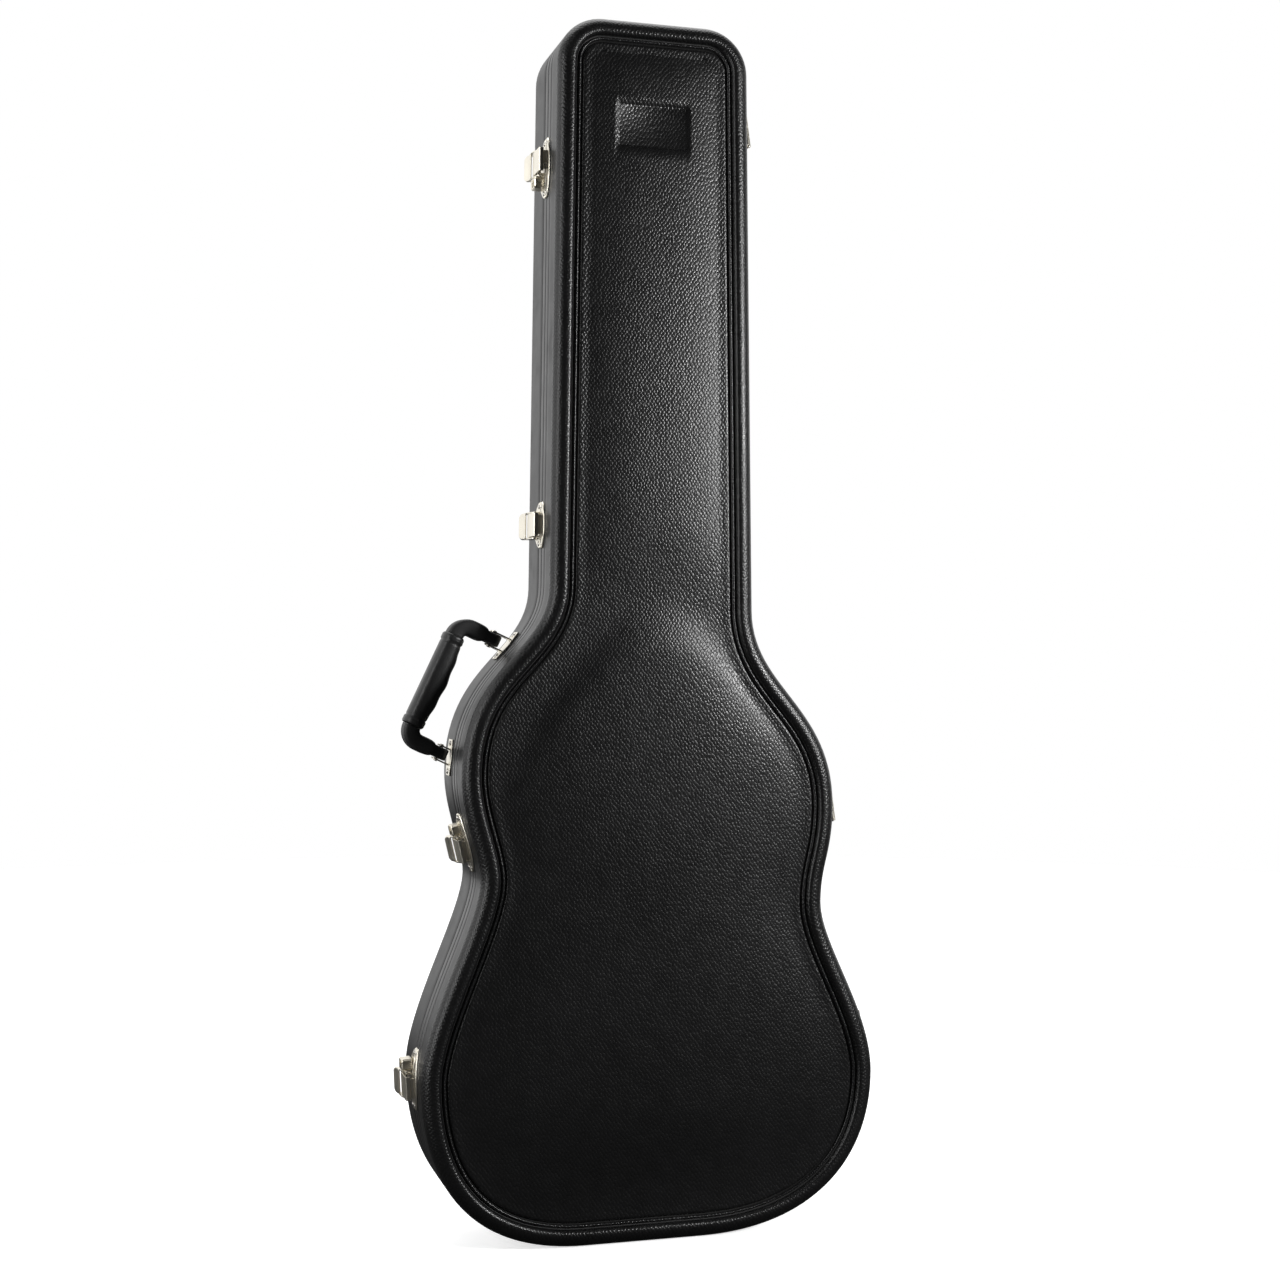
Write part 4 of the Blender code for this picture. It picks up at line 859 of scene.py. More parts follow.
# ------------------------------------------------------------------ accessory compartment, flap and tab
FLAP_W = 0.054
FLAP_Y = 0.014
BOX_Z = (0.715, 0.905)
bw = FLAP_W / 2 + 0.004
bt = 0.003
bm = bmesh.new()


def rounded(x0, x1, z0, z1, r, y, k=5):
    pts = []
    for cx, cz, s in ((x1 - r, z1 - r, 0), (x0 + r, z1 - r, 90), (x0 + r, z0 + r, 180), (x1 - r, z0 + r, 270)):
        for q in range(k):
            a = math.radians(s + 90.0 / (k - 1) * q)
            pts.append((cx + r * math.cos(a), y, cz + r * math.sin(a)))
    return pts


yt = FLAP_Y + 0.0012
rings = [rounded(-bw + 0.0003, bw - 0.0003, BOX_Z[0] + 0.0003, BOX_Z[1] - 0.0003, 0.0026, fy - 0.0003),
         rounded(-bw, bw, BOX_Z[0], BOX_Z[1], 0.0030, fy - 0.0014),
         rounded(-bw, bw, BOX_Z[0], BOX_Z[1], 0.0030, yt + 0.0014),
         rounded(-bw + 0.0004, bw - 0.0004, BOX_Z[0] + 0.0004, BOX_Z[1] - 0.0004, 0.0028, yt + 0.0004),
         rounded(-bw + 0.0014, bw - 0.0014, BOX_Z[0] + 0.0014, BOX_Z[1] - 0.0014, 0.0022, yt),
         rounded(-bw + 0.0025, bw - 0.0025, BOX_Z[0] + 0.0025, BOX_Z[1] - 0.0025, 0.0018, yt + 0.0004),
         rounded(-bw + 0.0030, bw - 0.0030, BOX_Z[0] + 0.0030, BOX_Z[1] - 0.0030, 0.0016, yt + 0.0014),
         rounded(-bw + 0.0030, bw - 0.0030, BOX_Z[0] + 0.0030, BOX_Z[1] - 0.0030, 0.0016, fy - bt - 0.0010),
         rounded(-bw + 0.0040, bw - 0.0040, BOX_Z[0] + 0.0040, BOX_Z[1] - 0.0040, 0.0012, fy - bt)]
vr = [[bm.verts.new(p) for p in r] for r in rings]
for a, b in zip(vr, vr[1:]):
    for i in range(len(a)):
        j = (i + 1) % len(a)
        bm.faces.new((a[i], a[j], b[j], b[i]))
bm.faces.new(vr[0])
bm.faces.new(vr[-1])
comp = mesh_object("accessory_box_lined", bm, M_PLUSH2, "base", ["accessory_box"], smooth=50)

hx = -FLAP_W / 2 - 0.0006
z0, z1 = BOX_Z[0] + 0.004, BOX_Z[1] - 0.004
bm = bmesh.new()
nx_, nz_ = 22, 64
for side in (-1, 1):
    grid = []
    for i in range(nx_ + 1):
        row = []
        for k in range(nz_ + 1):
            u, w = i / nx_, k / nz_
            e = min(u, 1 - u) * FLAP_W
            g = min(w, 1 - w) * (z1 - z0)
            lip = 1 - step(0.0, 0.0012, min(e, g))
            seam = math.exp(-((min(e, g) - 0.0035) / 0.0007) ** 2)
            t = 0.0009 * (1 - 0.75 * lip)
            if side < 0:
                t = t - 0.00035 * seam + 0.00012 * ripple(Vector((u * 0.05, 0.3, w * 0.19)), 1.0) * (1 - lip)
            row.append(bm.verts.new((hx + FLAP_W * u + (0.0003 if u == 0 else 0.0), FLAP_Y + side * t, z0 + (z1 - z0) * w)))
        grid.append(row)
    for i in range(nx_):
        for k in range(nz_):
            bm.faces.new((grid[i][k], grid[i + 1][k], grid[i + 1][k + 1], grid[i][k + 1]))
    if side < 0:
        first = grid
edge0 = [first[i][0] for i in range(nx_ + 1)] + [first[nx_][k] for k in range(1, nz_ + 1)] + \
        [first[i][nz_] for i in range(nx_ - 1, -1, -1)] + [first[0][k] for k in range(nz_ - 1, 0, -1)]
edge1 = [grid[i][0] for i in range(nx_ + 1)] + [grid[nx_][k] for k in range(1, nz_ + 1)] + \
        [grid[i][nz_] for i in range(nx_ - 1, -1, -1)] + [grid[0][k] for k in range(nz_ - 1, 0, -1)]
for i in range(len(edge0)):
    j = (i + 1) % len(edge0)
    bm.faces.new((edge0[i], edge0[j], edge1[j], edge1[i]))
flap = mesh_object("accessory_flap_cover", bm, M_PLUSH2, "flap", ["accessory_flap"], smooth=60)

# pull tab: a folded strip of leather, stitched down
bm = bmesh.new()
tz = (BOX_Z[0] + BOX_Z[1]) / 2
tx0 = hx + FLAP_W - 0.016
path = [(tx0, FLAP_Y - 0.0014), (tx0 + 0.0012, FLAP_Y - 0.0026), (tx0 + 0.0036, FLAP_Y - 0.0046), (tx0 + 0.0064, FLAP_Y - 0.0058),
        (tx0 + 0.0092, FLAP_Y - 0.0057), (tx0 + 0.0118, FLAP_Y - 0.0047), (tx0 + 0.0138, FLAP_Y - 0.0034), (tx0 + 0.0150, FLAP_Y - 0.0020)]
wide = [0.0082, 0.0086, 0.0088, 0.0088, 0.0088, 0.0087, 0.0084, 0.0080]
rings = []
for k, ((x, y), w) in enumerate(zip(path, wide)):
    a, b = path[max(0, k - 1)], path[min(len(path) - 1, k + 1)]
    tx, ty = b[0] - a[0], b[1] - a[1]
    ln = math.hypot(tx, ty)
    nx, ny = -ty / ln, tx / ln
    ring_ = []
    for q in range(16):
        an = 2 * math.pi * q / 16
        cz = math.copysign(abs(math.cos(an)) ** 0.35, math.cos(an)) * w
        cn = math.copysign(abs(math.sin(an)) ** 0.8, math.sin(an)) * 0.0006
        ring_.append(bm.verts.new((x + nx * cn, y + ny * cn, tz + cz)))
    rings.append(ring_)
for a, b in zip(rings, rings[1:]):
    for i in range(16):
        j = (i + 1) % 16
        bm.faces.new((a[i], a[j], b[j], b[i]))
bm.faces.new(rings[0])
bm.faces.new(rings[-1])
mesh_object("flap_pull_tab", bm, M_TAB, "flap", ["flap_tab"], smooth=50)


# ------------------------------------------------------------------ hardware frames
class Frame:
    def __init__(self, at, along, out):
        self.at, self.along, self.out = Vector(at), Vector(along).normalized(), Vector(out).normalized()

    def __call__(self, s, y, h):
        p = self.at + self.along * s + self.out * h
        return Vector((p.x, y, p.z))


FINE = (10, 7, 6, 8, 1, 3)


def dense(side, sign, counts):
    return [Vector((sign * x, 0.0, z)) for x, z, _, _ in half(side, counts)]


RIGHT_LINE = dense(RIGHT, 1.0, FINE)
LEFT_LINE = dense(LEFT, -1.0, FINE)
RIGHT_HI = dense(RIGHT, 1.0, tuple(4 * c for c in HI))
LEFT_HI = dense(LEFT, -1.0, tuple(4 * c for c in HI))


def wall_height(line, at, along, out):
    pts = sorted(((p - at).dot(along), (p - at).dot(out)) for p in line
                 if abs((p - at).dot(along)) < 0.12 and abs((p - at).dot(out)) < 0.10)

    def f(s):
        for (s0, h0), (s1, h1) in zip(pts, pts[1:]):
            if s0 <= s <= s1:
                return h0 + (h1 - h0) * (s - s0) / max(1e-9, s1 - s0)
        return pts[0][1] if s < pts[0][0] else pts[-1][1]
    return f


def left_frame(z):
    for p, q in zip(LEFT_LINE, LEFT_LINE[1:]):
        if p.z <= z <= q.z:
            t = (z - p.z) / (q.z - p.z)
            along = (q - p).normalized()
            return Frame(p.lerp(q, t), along, (-along.z, 0.0, along.x))
    raise ValueError("height off the outline")


def extrude_profile(bm, fr, profile, s0, s1):
    a = [bm.verts.new(fr(s0, y, h)) for y, h in profile]
    b = [bm.verts.new(fr(s1, y, h)) for y, h in profile]
    bm.faces.new(a)
    bm.faces.new(list(reversed(b)))
    for i in range(len(a)):
        j = (i + 1) % len(a)
        bm.faces.new((a[i], b[i], b[j], a[j]))


def disc_stack(bm, c, axis, prof, seg=28):
    """A turned piece: (radius, height) rings round an axis, closed at both ends."""
    axis = axis.normalized()
    u = axis.orthogonal().normalized()
    w = axis.cross(u)
    rings = [[bm.verts.new(c + axis * h + u * (r * math.cos(2 * math.pi * k / seg)) + w * (r * math.sin(2 * math.pi * k / seg)))
              for k in range(seg)] for r, h in prof]
    for a, b in zip(rings, rings[1:]):
        for i in range(seg):
            j = (i + 1) % seg
            bm.faces.new((a[i], a[j], b[j], b[i]))
    bm.faces.new(list(reversed(rings[0])))
    bm.faces.new(rings[-1])


LATCH_Z = (0.9500, 0.6280, 0.3440, 0.1400)
LATCH_LOCK = (-1, 0, 1, 1)
PX, PH = SEAM + 0.0075, 0.0050
HX, HH = SEAM + 0.0160, 0.0075
HALF_W = 0.012
CHEEK = 0.0012
LOCK_W = 0.0115


def latch(i, z, lock):
    fr = left_frame(z)
    wall_cad = wall_height(LEFT_LINE, fr.at, fr.along, fr.out)
    wall = wall_height(LEFT_HI, fr.at, fr.along, fr.out)
    n = str(i)
    lo = -HALF_W - 0.0085 - (LOCK_W if lock < 0 else 0.0)
    hi = HALF_W + 0.0085 + (LOCK_W if lock > 0 else 0.0)
    mid, half_len = (lo + hi) / 2, (hi - lo) / 2

    def eye(s, deep, tip):
        u = abs(s - mid) / half_len
        return tip + (deep - tip) * max(0.0, 1.0 - u * u) ** 0.75

    def plate(sign, start, deep, tip, k=40, rows=10):
        """Pressed plate that follows the wall, its outer edge rolled down to it."""
        bm = bmesh.new()
        secs = []
        for q in range(k + 1):
            t = -math.cos(math.pi * q / k)
            s = mid + half_len * t
            w = max(wall(s), wall_cad(s) - 0.0002)
            y0, y1 = start, eye(s, deep, tip)
            endk = min(1.0, (half_len - abs(s - mid)) / 0.0010)
            th = 0.0011 * math.sqrt(max(0.0, 1 - (1 - endk) ** 2)) + 0.00035
            ys = [(y0, GAP), (y0, th * 0.75), (y0 + 0.0003, th)]
            span = y1 - y0
            for a in range(1, rows):
                v = a / rows
                yy = y0 + 0.0003 + (span - 0.0009 - 0.0003) * v
                # shallow pressed step that runs round the plate, 2.2 mm in from its edge
                e = (y1 - yy)
                ys.append((yy, th + 0.00022 * step(0.0016, 0.0026, e) * endk))
            ys += [(y1 - 0.0006, th * 0.97), (y1 - 0.0002, th * 0.72), (y1, GAP)]
            secs.append([fr(s, SEAM + sign * y, w + h) for y, h in ys])
        rings = [[bm.verts.new(p) for p in sec] for sec in secs]
        m = len(rings[0])
        for a, b in zip(rings, rings[1:]):
            for c in range(m):
                d = (c + 1) % m
                bm.faces.new((a[c], a[d], b[d], b[c]))
        bm.faces.new(rings[0])
        bm.faces.new(list(reversed(rings[-1])))
        return bm

    bm = plate(1, 0.0012, 0.0255, 0.0050)
    body = mesh_object("latch_%s_plate_skin" % n, bm, M_METAL, "base", ["latch_%s_plate" % n], smooth=40)
    bm = bmesh.new()
    for sg in (-1, 1):
        c = sg * (HALF_W - CHEEK - 0.0004 - 0.0006)
        w = min(wall(c - 0.0006), wall(c + 0.0006))
        prof = [(PX - 0.0024, w + 0.0009), (PX + 0.0026, w + 0.0009), (PX + 0.0026, 0.0050)]
        prof += [(PX + 0.0024 * math.cos(a), PH + 0.0024 * math.sin(a)) for a in (math.radians(t) for t in (15, 40, 65, 90, 115, 140, 165))]
        prof += [(PX - 0.0024, 0.0050)]
        extrude_profile(bm, fr, prof, c - 0.0006, c + 0.0006)
    ears = mesh_object("latch_%s_plate_ears" % n, bm, M_METAL, "base", smooth=40)
    bm = plate(-1, 0.0012, 0.0125, 0.0035, 40, 8)
    keep = mesh_object("latch_%s_keeper_skin" % n, bm, M_METAL, "lid", ["latch_%s_keeper" % n], smooth=40)
    hw = HALF_W - CHEEK - 0.0005
    bm = bmesh.new()
    w = min(wall(-hw + 0.002), wall(hw - 0.002), wall(0.0))
    prof = [(SEAM - 0.0058, w + 0.0009), (SEAM - 0.0058, 0.0042), (SEAM - 0.00595, 0.0049), (SEAM - 0.0063, 0.0052),
            (SEAM - 0.0067, 0.0052), (SEAM - 0.0070, 0.0049), (SEAM - 0.0070, w + 0.0009)]
    extrude_profile(bm, fr, prof, -hw + 0.002, hw - 0.002)
    mesh_object("latch_%s_keeper_lip" % n, bm, M_METAL, "lid", smooth=40)

    # the lever: a drawn channel with rounded shoulders, a rolled thumb lip and a rod for the hook
    bm = bmesh.new()
    top_in, top_out = 0.0098, 0.0110
    y_front = HX + 0.0034
    W = HALF_W
    R = 0.0016

    def roof_h(y):
        q = step(SEAM + 0.0255, SEAM + 0.0352, y)
        return top_out + 0.0020 * q * q

    cols_ = 26
    ysamp = [y_front, y_front + 0.0004, y_front + 0.002, SEAM + 0.0215, SEAM + 0.0235, SEAM + 0.0255, SEAM + 0.0275, SEAM + 0.0293, SEAM + 0.0310,
             SEAM + 0.0325, SEAM + 0.0338, SEAM + 0.0348, SEAM + 0.0354, SEAM + 0.0356]
    outer_rows, inner_rows = [], []
    for yy in ysamp:
        ho = roof_h(yy)
        endk = step(SEAM + 0.0300, SEAM + 0.0356, yy)
        ww = W - 0.0022 * endk * endk
        th = (top_out - top_in) * (0.35 if yy in (ysamp[0], ysamp[-1]) else 1.0)
        ho2 = ho - (0.0002 if yy in (ysamp[0], ysamp[-1]) else 0.0)
        ro, ri = [], []
        for q in range(cols_ + 1):
            u = -1 + 2 * q / cols_
            s = ww * math.sin(u * math.pi / 2)
            d = max(0.0, abs(s) - (ww - R))
            drop = R - math.sqrt(max(0.0, R * R - d * d))
            press = 0.00035 * (1 - step(0.0065, 0.0085, abs(s))) * step(y_front + 0.0015, y_front + 0.0035, yy) * (1 - step(SEAM + 0.0275, SEAM + 0.0300, yy))
            ro.append(bm.verts.new(fr(s, yy, ho2 - drop - press)))
            k = 1.0 - (CHEEK * 0.75) / ww
            ri.append(bm.verts.new(fr(s * k, yy, ho2 - th - drop * 0.6 - press * 0.0)))
        outer_rows.append(ro)
        inner_rows.append(ri)
    for rows in (outer_rows, inner_rows):
        for a, b in zip(rows, rows[1:]):
            for q in range(cols_):
                bm.faces.new((a[q], a[q + 1], b[q + 1], b[q]))
    for q in range(cols_):
        bm.faces.new((outer_rows[0][q], outer_rows[0][q + 1], inner_rows[0][q + 1], inner_rows[0][q]))
        bm.faces.new((outer_rows[-1][q], outer_rows[-1][q + 1], inner_rows[-1][q + 1], inner_rows[-1][q]))
    for a in range(len(ysamp) - 1):
        for e in (0, cols_):
            bm.faces.new((outer_rows[a][e], outer_rows[a + 1][e], inner_rows[a + 1][e], inner_rows[a][e]))
    mesh_object("latch_%s_lever_roof" % n, bm, M_METAL, "latch_%s_lever_body" % n, ["latch_%s_lever" % n], smooth=42)
    bm = bmesh.new()
    for sg in (-1, 1):
        a0, a1 = (-HALF_W + 0.00005, -HALF_W + CHEEK) if sg < 0 else (HALF_W - CHEEK, HALF_W - 0.00005)
        prof = [(SEAM + 0.0302, 0.0034), (SEAM + 0.0306, top_in - 0.0004), (SEAM + 0.0296, top_out - R * 0.62), (HX + 0.0034, top_out - R * 0.62),
                (HX + 0.0004, top_out - R * 0.66), (HX - 0.0016, top_in + 0.0001), (HX - 0.0040, 0.0090), (PX + 0.0012, PH + 0.0032)]
        prof += [(PX + 0.0030 * math.cos(a), PH + 0.0030 * math.sin(a)) for a in (math.radians(t) for t in (110, 130, 150, 170, 190, 210, 230, 250, 270))]
        prof += [(SEAM + 0.0262, 0.0022), (SEAM + 0.0288, 0.0025)]
        extrude_profile(bm, fr, prof, a0, a1)
    disc_stack(bm, fr(-HALF_W + 0.0004, HX, HH), fr.along, [(0.0007, 0.0), (0.0009, 0.0002), (0.0009, 2 * HALF_W - 0.0010), (0.0007, 2 * HALF_W - 0.0008)], 14)
    ch = mesh_object("latch_%s_lever_cheeks" % n, bm, M_METAL, "latch_%s_lever_body" % n, smooth=40)
    for o_ in (ears, ch):
        b_ = o_.modifiers.new("ease", "BEVEL")
        b_.width = 0.00018
        b_.segments = 2
        b_.limit_method = "ANGLE"
        b_.angle_limit = math.radians(40)
    # peened ends of the pivot pin
    bm = bmesh.new()
    for sg in (-1, 1):
        disc_stack(bm, fr(sg * (HALF_W + 0.00002), PX, PH), fr.along * sg, [(0.0016, 0.0), (0.0016, 0.0002), (0.0013, 0.00045), (0.0007, 0.00058)], 18)
    mesh_object("latch_%s_pin_heads" % n, bm, M_PIN, "latch_%s_lever_body" % n, smooth=50)

    # hook with its claw, stiffened by a pressed rib
    tidy_cad("latch_%s_hook" % n, M_METAL, 0.0002, 2)
    tidy_cad("latch_%s_pin" % n, M_PIN, 0.0002, 2)

    # dome-headed rivets over the plate's tips
    for tag, s in (("a", lo + 0.0042), ("b", hi - 0.0042)):
        w = wall(s)
        slope = (wall(s + 0.002) - wall(s - 0.002)) / 0.004
        out = (fr.out - fr.along * slope).normalized()
        c = fr(s, SEAM + 0.0046, w)
        bm = bmesh.new()
        disc_stack(bm, c, out, [(0.0015, 0.0012), (0.00222, 0.0014), (0.00222, 0.00165), (0.0020, 0.0021), (0.0016, 0.0025), (0.0009, 0.00278), (0.00035, 0.0027), (0.0002, 0.00235)], 24)
        mesh_object("latch_%s_rivet_%s_head" % (n, tag), bm, M_PIN, "base", ["latch_%s_rivet_%s" % (n, tag)], smooth=40)
        bm = bmesh.new()
        c = fr(s, SEAM - 0.0034, w)
        disc_stack(bm, c, out, [(0.0013, 0.0008), (0.00165, 0.0013), (0.00165, 0.0016), (0.0014, 0.0019), (0.0008, 0.0021)], 20)
        mesh_object("latch_%s_keeper_rivet_%s" % (n, tag), bm, M_PIN, "lid", smooth=40)

    if lock:
        tidy_cad("latch_%s_lock" % n, M_LOCK, 0.00045, 3)
        tidy_cad("latch_%s_key_plug" % n, M_PLUG, 0.00015, 2)


for i, (z, lk) in enumerate(zip(LATCH_Z, LATCH_LOCK), 1):
    latch(i, z, lk)


# ------------------------------------------------------------------ hinges
def tangent_line():
    low = [p for p in RIGHT_LINE if p.z < 0.29]
    high = [p for p in RIGHT_LINE if p.z >= 0.29]
    a, b = 0.0, math.radians(30)
    for _ in range(60):
        t = (a + b) / 2
        m = Vector((math.cos(t), 0.0, math.sin(t)))
        if max(p.dot(m) for p in low) > max(p.dot(m) for p in high):
            a = t
        else:
            b = t
    m = Vector((math.cos(a), 0.0, math.sin(a)))
    return m, max(low, key=lambda p: p.dot(m))


HOUT, H_LOW = tangent_line()
HALONG = Vector((-HOUT.z, 0.0, HOUT.x))
for tag, z in (("lower", 0.162), ("upper", 0.385), ("head", 1.000)):
    at = H_LOW + HOUT * 0.0056
    at = at + HALONG * ((z - at.z) / HALONG.z)
    fr = Frame(at, HALONG, HOUT)
    wall = wall_height(RIGHT_LINE, at, HALONG, HOUT)
    tidy_cad("hinge_%s_base_leaf" % tag, M_METAL_H, 0.0002, 2)
    tidy_cad("hinge_%s_lid_leaf" % tag, M_METAL_H, 0.0002, 2)
    tidy_cad("hinge_%s_pin" % tag, M_PIN, 0.0002, 2)
    for sgn, body, part in ((1, "base", "base"), (-1, "lid", "lid")):
        bm = bmesh.new()
        for s in (-0.0180, -0.0060, 0.0060, 0.0180):
            yy = SEAM + sgn * (0.0100 if abs(s) > 0.01 else 0.0078)
            w = wall(s) + 0.0017
            slope = (wall(s + 0.002) - wall(s - 0.002)) / 0.004
            out = (fr.out - fr.along * slope).normalized()
            disc_stack(bm, fr(s, yy, w), out, [(0.0016, -0.0006), (0.0021, 0.0), (0.0020, 0.00035), (0.0015, 0.0007), (0.0008, 0.0009)], 20)
        mesh_object("hinge_%s_%s_rivets" % (tag, part), bm, M_PIN, body, smooth=50)

# ------------------------------------------------------------------ handle
GRIP_MID = (-0.1840, 0.4909)
gd = Vector((0.4262, 0.0, 0.9046)).normalized()
gm = Vector((-gd.z, 0.0, gd.x))
GRIP_LEN = 0.0874
HANDLE_Y = 0.012
LEG_TOP, LEG_BOTTOM = 0.0555, -0.0555
gf = Frame((GRIP_MID[0], 0.0, GRIP_MID[1]), gd, gm)
gwall = wall_height(LEFT_LINE, gf.at, gd, gm)
gwall_hi = wall_height(LEFT_HI, gf.at, gd, gm)
AXIS_H = max(gwall(LEG_TOP), gwall(LEG_BOTTOM)) + 0.0118


def sup(c, e):
    return math.copysign(abs(c) ** e, c)


bm = bmesh.new()
SEG = 28
t0, w0 = 0.0105, 0.021
rc = 0.0110
gl = GRIP_LEN / 2
path = []
t1 = 0.0152                                # the moulded strap is fuller between its brackets and the grip
half_path = [(AXIS_H - 0.0076, 0.0085, 0.0050), (AXIS_H - 0.0073, 0.0096, 0.0078), (AXIS_H - 0.0066, 0.0101, 0.0106), (AXIS_H - 0.0054, 0.0103, 0.0136), (AXIS_H - 0.0038, 0.0104, 0.0160),
             (AXIS_H - 0.0012, 0.0104, 0.0178), (AXIS_H + 0.0020, t0, 0.0190), (AXIS_H + 0.0066, t0, 0.0204), (AXIS_H + 0.0080, 0.0128, w0), (AXIS_H + 0.0105, 0.0145, w0), (AXIS_H + 0.014, t1, w0), (-rc - 0.003, t1, w0)]
for h, t, w in half_path:
    path.append((LEG_BOTTOM, h, 0, 1, t, w))
for q in range(0, 11):
    a = math.radians(9 * q)
    path.append((LEG_BOTTOM + rc * (1 - math.cos(a)), -rc + rc * math.sin(a), math.sin(a), math.cos(a), t1, w0))
path.append((-gl - 0.0004, 0, 1, 0, t1, w0))
path.append((-gl - 0.0003, 0, 1, 0, 0.0050, 0.012))
rest_ = [(-s, h, ds, -dh, t, w) for s, h, ds, dh, t, w in reversed(path)]
rings = []
for s, h, ds, dh, t, w in path + rest_:
    k = math.hypot(ds, dh)
    ns, nh = -dh / k, ds / k
    rg = []
    for q in range(SEG):
        a = 2 * math.pi * q / SEG
        p = sup(math.cos(a), 0.46) * t / 2
        y = sup(math.sin(a), 0.42) * w / 2
        # shallow channel along the strap's outer face
        if abs(y) < w * 0.30 and w > 0.018:
            p -= math.copysign(0.0003, p)
        rg.append(bm.verts.new(gf(s + ns * p, HANDLE_Y + y, h + nh * p)))
    rings.append(rg)
for a, b in zip(rings, rings[1:]):
    for i in range(SEG):
        j = (i + 1) % SEG
        bm.faces.new((a[i], a[j], b[j], b[i]))
bm.faces.new(rings[0])
bm.faces.new(rings[-1])
strap = mesh_object("handle_strap_skin", bm, M_STRAP, "handle", ["handle_strap"], smooth=60)

bm = bmesh.new()
SEG = 44
N = 60
rings = []
for k in range(N + 1):
    u = -1 + 2 * k / N
    s = u * gl
    swell = 0.0033 * max(0.0, math.cos(u * math.pi / 2)) ** 1.5
    e = gl - abs(s)
    endk = math.sqrt(max(0.0, 1 - (1 - min(1.0, e / 0.0012)) ** 2))
    col = 1 - step(0.0058, 0.0074, e)          # collar at each end
    grv = math.exp(-((e - 0.0074) / 0.0007) ** 2)
    up = 0.0092 + 0.0006 * col - 0.0005 * grv
    down = 0.0092 + swell + 0.0006 * col - 0.0005 * grv
    wide_ = 0.0129 + 0.0006 * col - 0.0005 * grv
    waves = 0.0
    rg = []
    for q in range(SEG):
        a = 2 * math.pi * q / SEG
        c, sn = math.cos(a), math.sin(a)
        rad = up if c > 0 else down
        if c < 0:
            waves = 0.0005 * math.cos(u * math.pi * 4.0) * abs(c) * (1 - step(0.55, 0.8, abs(u)))
        else:
            waves = 0.0
        shr = 0.90 + 0.10 * endk
        # parting line round the moulding's outer and inner faces
        line = 0.00025 if q in (0, SEG // 2) else 0.0
        hh = (rad + waves - line) * sup(c, 0.80) * shr
        yy = wide_ * sup(sn, 0.80) * shr
        rg.append(bm.verts.new(gf(s, HANDLE_Y + yy, hh)))
    rings.append(rg)
ends = []
for s in (-gl, gl):
    ends.append([bm.verts.new(gf(s, HANDLE_Y + 0.0074 * sup(math.sin(2 * math.pi * q / SEG), 0.6), 0.0036 * sup(math.cos(2 * math.pi * q / SEG), 0.6)))
                 for q in range(SEG)])
allr = rings + [ends[1], ends[0]]
for a in range(len(allr)):
    b = (a + 1) % len(allr)
    for i in range(SEG):
        j = (i + 1) % SEG
        bm.faces.new((allr[a][i], allr[a][j], allr[b][j], allr[b][i]))
mesh_object("handle_grip_skin", bm, M_GRIP, "handle", ["handle_grip"], smooth=60)

for tag in ("top", "bottom"):
    tidy_cad("handle_%s_bracket" % tag, M_METAL, 0.00025, 2)
    tidy_cad("handle_%s_pin" % tag, M_PIN, 0.00025, 2)
for tag, s_leg in (("top", LEG_TOP), ("bottom", LEG_BOTTOM)):
    bm = bmesh.new()
    for ds in (-0.0116, 0.0116):
        s = s_leg + ds
        w = gwall(s) + 0.0017
        slope = (gwall(s + 0.002) - gwall(s - 0.002)) / 0.004
        out = (gf.out - gf.along * slope).normalized()
        disc_stack(bm, gf(s, HANDLE_Y, w), out, [(0.0020, -0.0006), (0.0026, 0.0), (0.0025, 0.0004), (0.0019, 0.0009), (0.0010, 0.0012)], 22)
    mesh_object("handle_%s_rivets" % tag, bm, M_PIN, "base", smooth=50)

# any solid that is still shown without a finish of its own
for name, o in frame["nodes"].items():
    if not o.hide_render and not any(m.name == "ease" for m in o.modifiers):
        tidy_cad(name, M_METAL)

# ------------------------------------------------------------------ stage
bm = bmesh.new()
bmesh.ops.create_circle(bm, cap_ends=True, segments=64, radius=3.2)
me = bpy.data.meshes.new("stage_floor")
bm.to_mesh(me)
bm.free()
floor = bpy.data.objects.new("stage_floor", me)
scene.collection.objects.link(floor)
t = Tree("stage_paper")
obj = t.coords()
t.link(t.ramp(t.noise(obj, 3.0, 3.0), ((0.3, 0.90), (0.7, 0.93))), t.b.inputs["Base Color"])
t.b.inputs["Roughness"].default_value = 0.85
t.b.inputs["Specular IOR Level"].default_value = 0.1
t.b.inputs["Emission Color"].default_value = (1, 1, 1, 1)
t.b.inputs["Emission Strength"].default_value = 0.66
dark = t.node("ShaderNodeBsdfDiffuse")
dark.inputs["Color"].default_value = (0.05, 0.05, 0.05, 1.0)
pick = t.node("ShaderNodeMixShader")
t.link(t.node("ShaderNodeLightPath").outputs["Is Camera Ray"], pick.inputs[0])
t.link(dark.outputs[0], pick.inputs[1])
t.link(t.b.outputs[0], pick.inputs[2])
t.link(pick.outputs[0], t.nt.nodes["Material Output"].inputs["Surface"])
me.materials.append(t.mat)

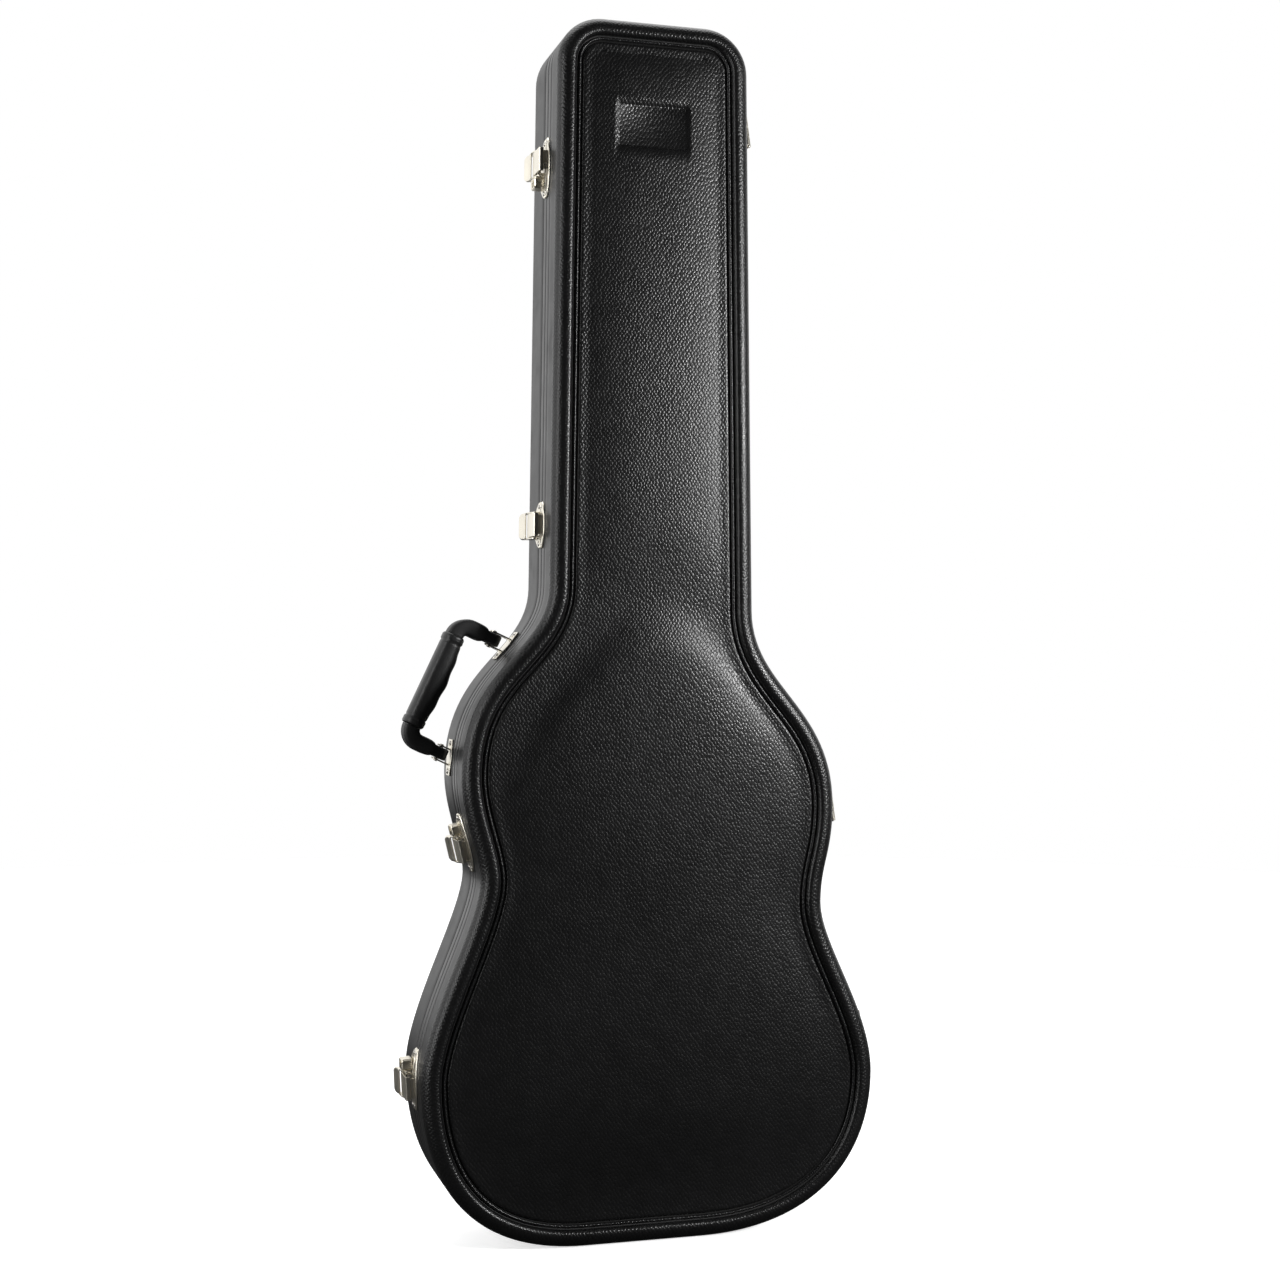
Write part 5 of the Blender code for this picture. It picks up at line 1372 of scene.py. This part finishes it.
world = bpy.data.worlds.new("studio")
scene.world = world
world.use_nodes = True
nt = world.node_tree
bg = nt.nodes["Background"]
tc = nt.nodes.new("ShaderNodeTexCoord")
sep = nt.nodes.new("ShaderNodeSeparateXYZ")
nt.links.new(tc.outputs["Generated"], sep.inputs[0])
mr = nt.nodes.new("ShaderNodeMapRange")          # dark behind the camera, white behind the object
mr.interpolation_type = "SMOOTHSTEP"
nt.links.new(sep.outputs["Y"], mr.inputs[0])
mr.inputs[1].default_value = -0.06
mr.inputs[2].default_value = 0.42
mr.inputs[3].default_value = 0.004
mr.inputs[4].default_value = 1.0
lp = nt.nodes.new("ShaderNodeLightPath")
mx = nt.nodes.new("ShaderNodeMath")
mx.operation = "MAXIMUM"
nt.links.new(mr.outputs[0], mx.inputs[0])
nt.links.new(lp.outputs["Is Camera Ray"], mx.inputs[1])
nt.links.new(mx.outputs[0], bg.inputs["Strength"])
bg.inputs["Color"].default_value = (1.0, 1.0, 1.0, 1.0)


def area(name, loc, target, sx, sy, power, color=(1, 1, 1)):
    d = bpy.data.lights.new(name, "AREA")
    d.shape = "RECTANGLE"
    d.size, d.size_y = sx, sy
    d.energy = power
    d.color = color
    o = bpy.data.objects.new(name, d)
    scene.collection.objects.link(o)
    o.location = loc
    o.rotation_mode = "QUATERNION"
    o.rotation_quaternion = (Vector(target) - Vector(loc)).to_track_quat("-Z", "Y")
    return o


area("key_right", (1.42, -1.50, 0.99), (0.0, 0.0, 0.72), 0.30, 0.30, 39.5)
area("strip_left", (-1.75, -0.60, 0.75), (-0.1, 0.0, 0.5), 0.5, 1.9, 15.0)
area("top_soft", (-0.1, 0.5, 2.9), (0.0, 0.0, 0.5), 2.4, 1.6, 26.0)
area("left_fill", (-2.4, 0.3, 1.2), (0.0, 0.0, 0.5), 1.4, 2.0, 6.0)

# ------------------------------------------------------------------ camera
yaw, pitch, roll = 0.28169603, 0.00718248, 0.00239007
Fw = Vector((math.sin(yaw) * math.cos(pitch), math.cos(yaw) * math.cos(pitch), math.sin(pitch)))
R0 = Vector((math.cos(yaw), -math.sin(yaw), 0.0))
U0 = R0.cross(Fw)
R_ = R0 * math.cos(roll) + U0 * math.sin(roll)
U_ = -R0 * math.sin(roll) + U0 * math.cos(roll)
cam_data = bpy.data.cameras.new("camera")
cam = bpy.data.objects.new("camera", cam_data)
scene.collection.objects.link(cam)
cam_data.sensor_fit = "HORIZONTAL"
cam_data.sensor_width = 36.0
cam_data.lens = 54.465
cam_data.clip_start, cam_data.clip_end = 0.02, 60.0
m = Matrix.Identity(4)
for r in range(3):
    m[r][0], m[r][1], m[r][2], m[r][3] = R_[r], U_[r], -Fw[r], (-0.48378, -1.68059, 0.51444)[r]
cam.matrix_world = m
scene.camera = cam
scene.view_settings.view_transform = "Standard"
scene.view_settings.look = "None"
scene.view_settings.exposure = 0.0
scene.view_settings.gamma = 1.0
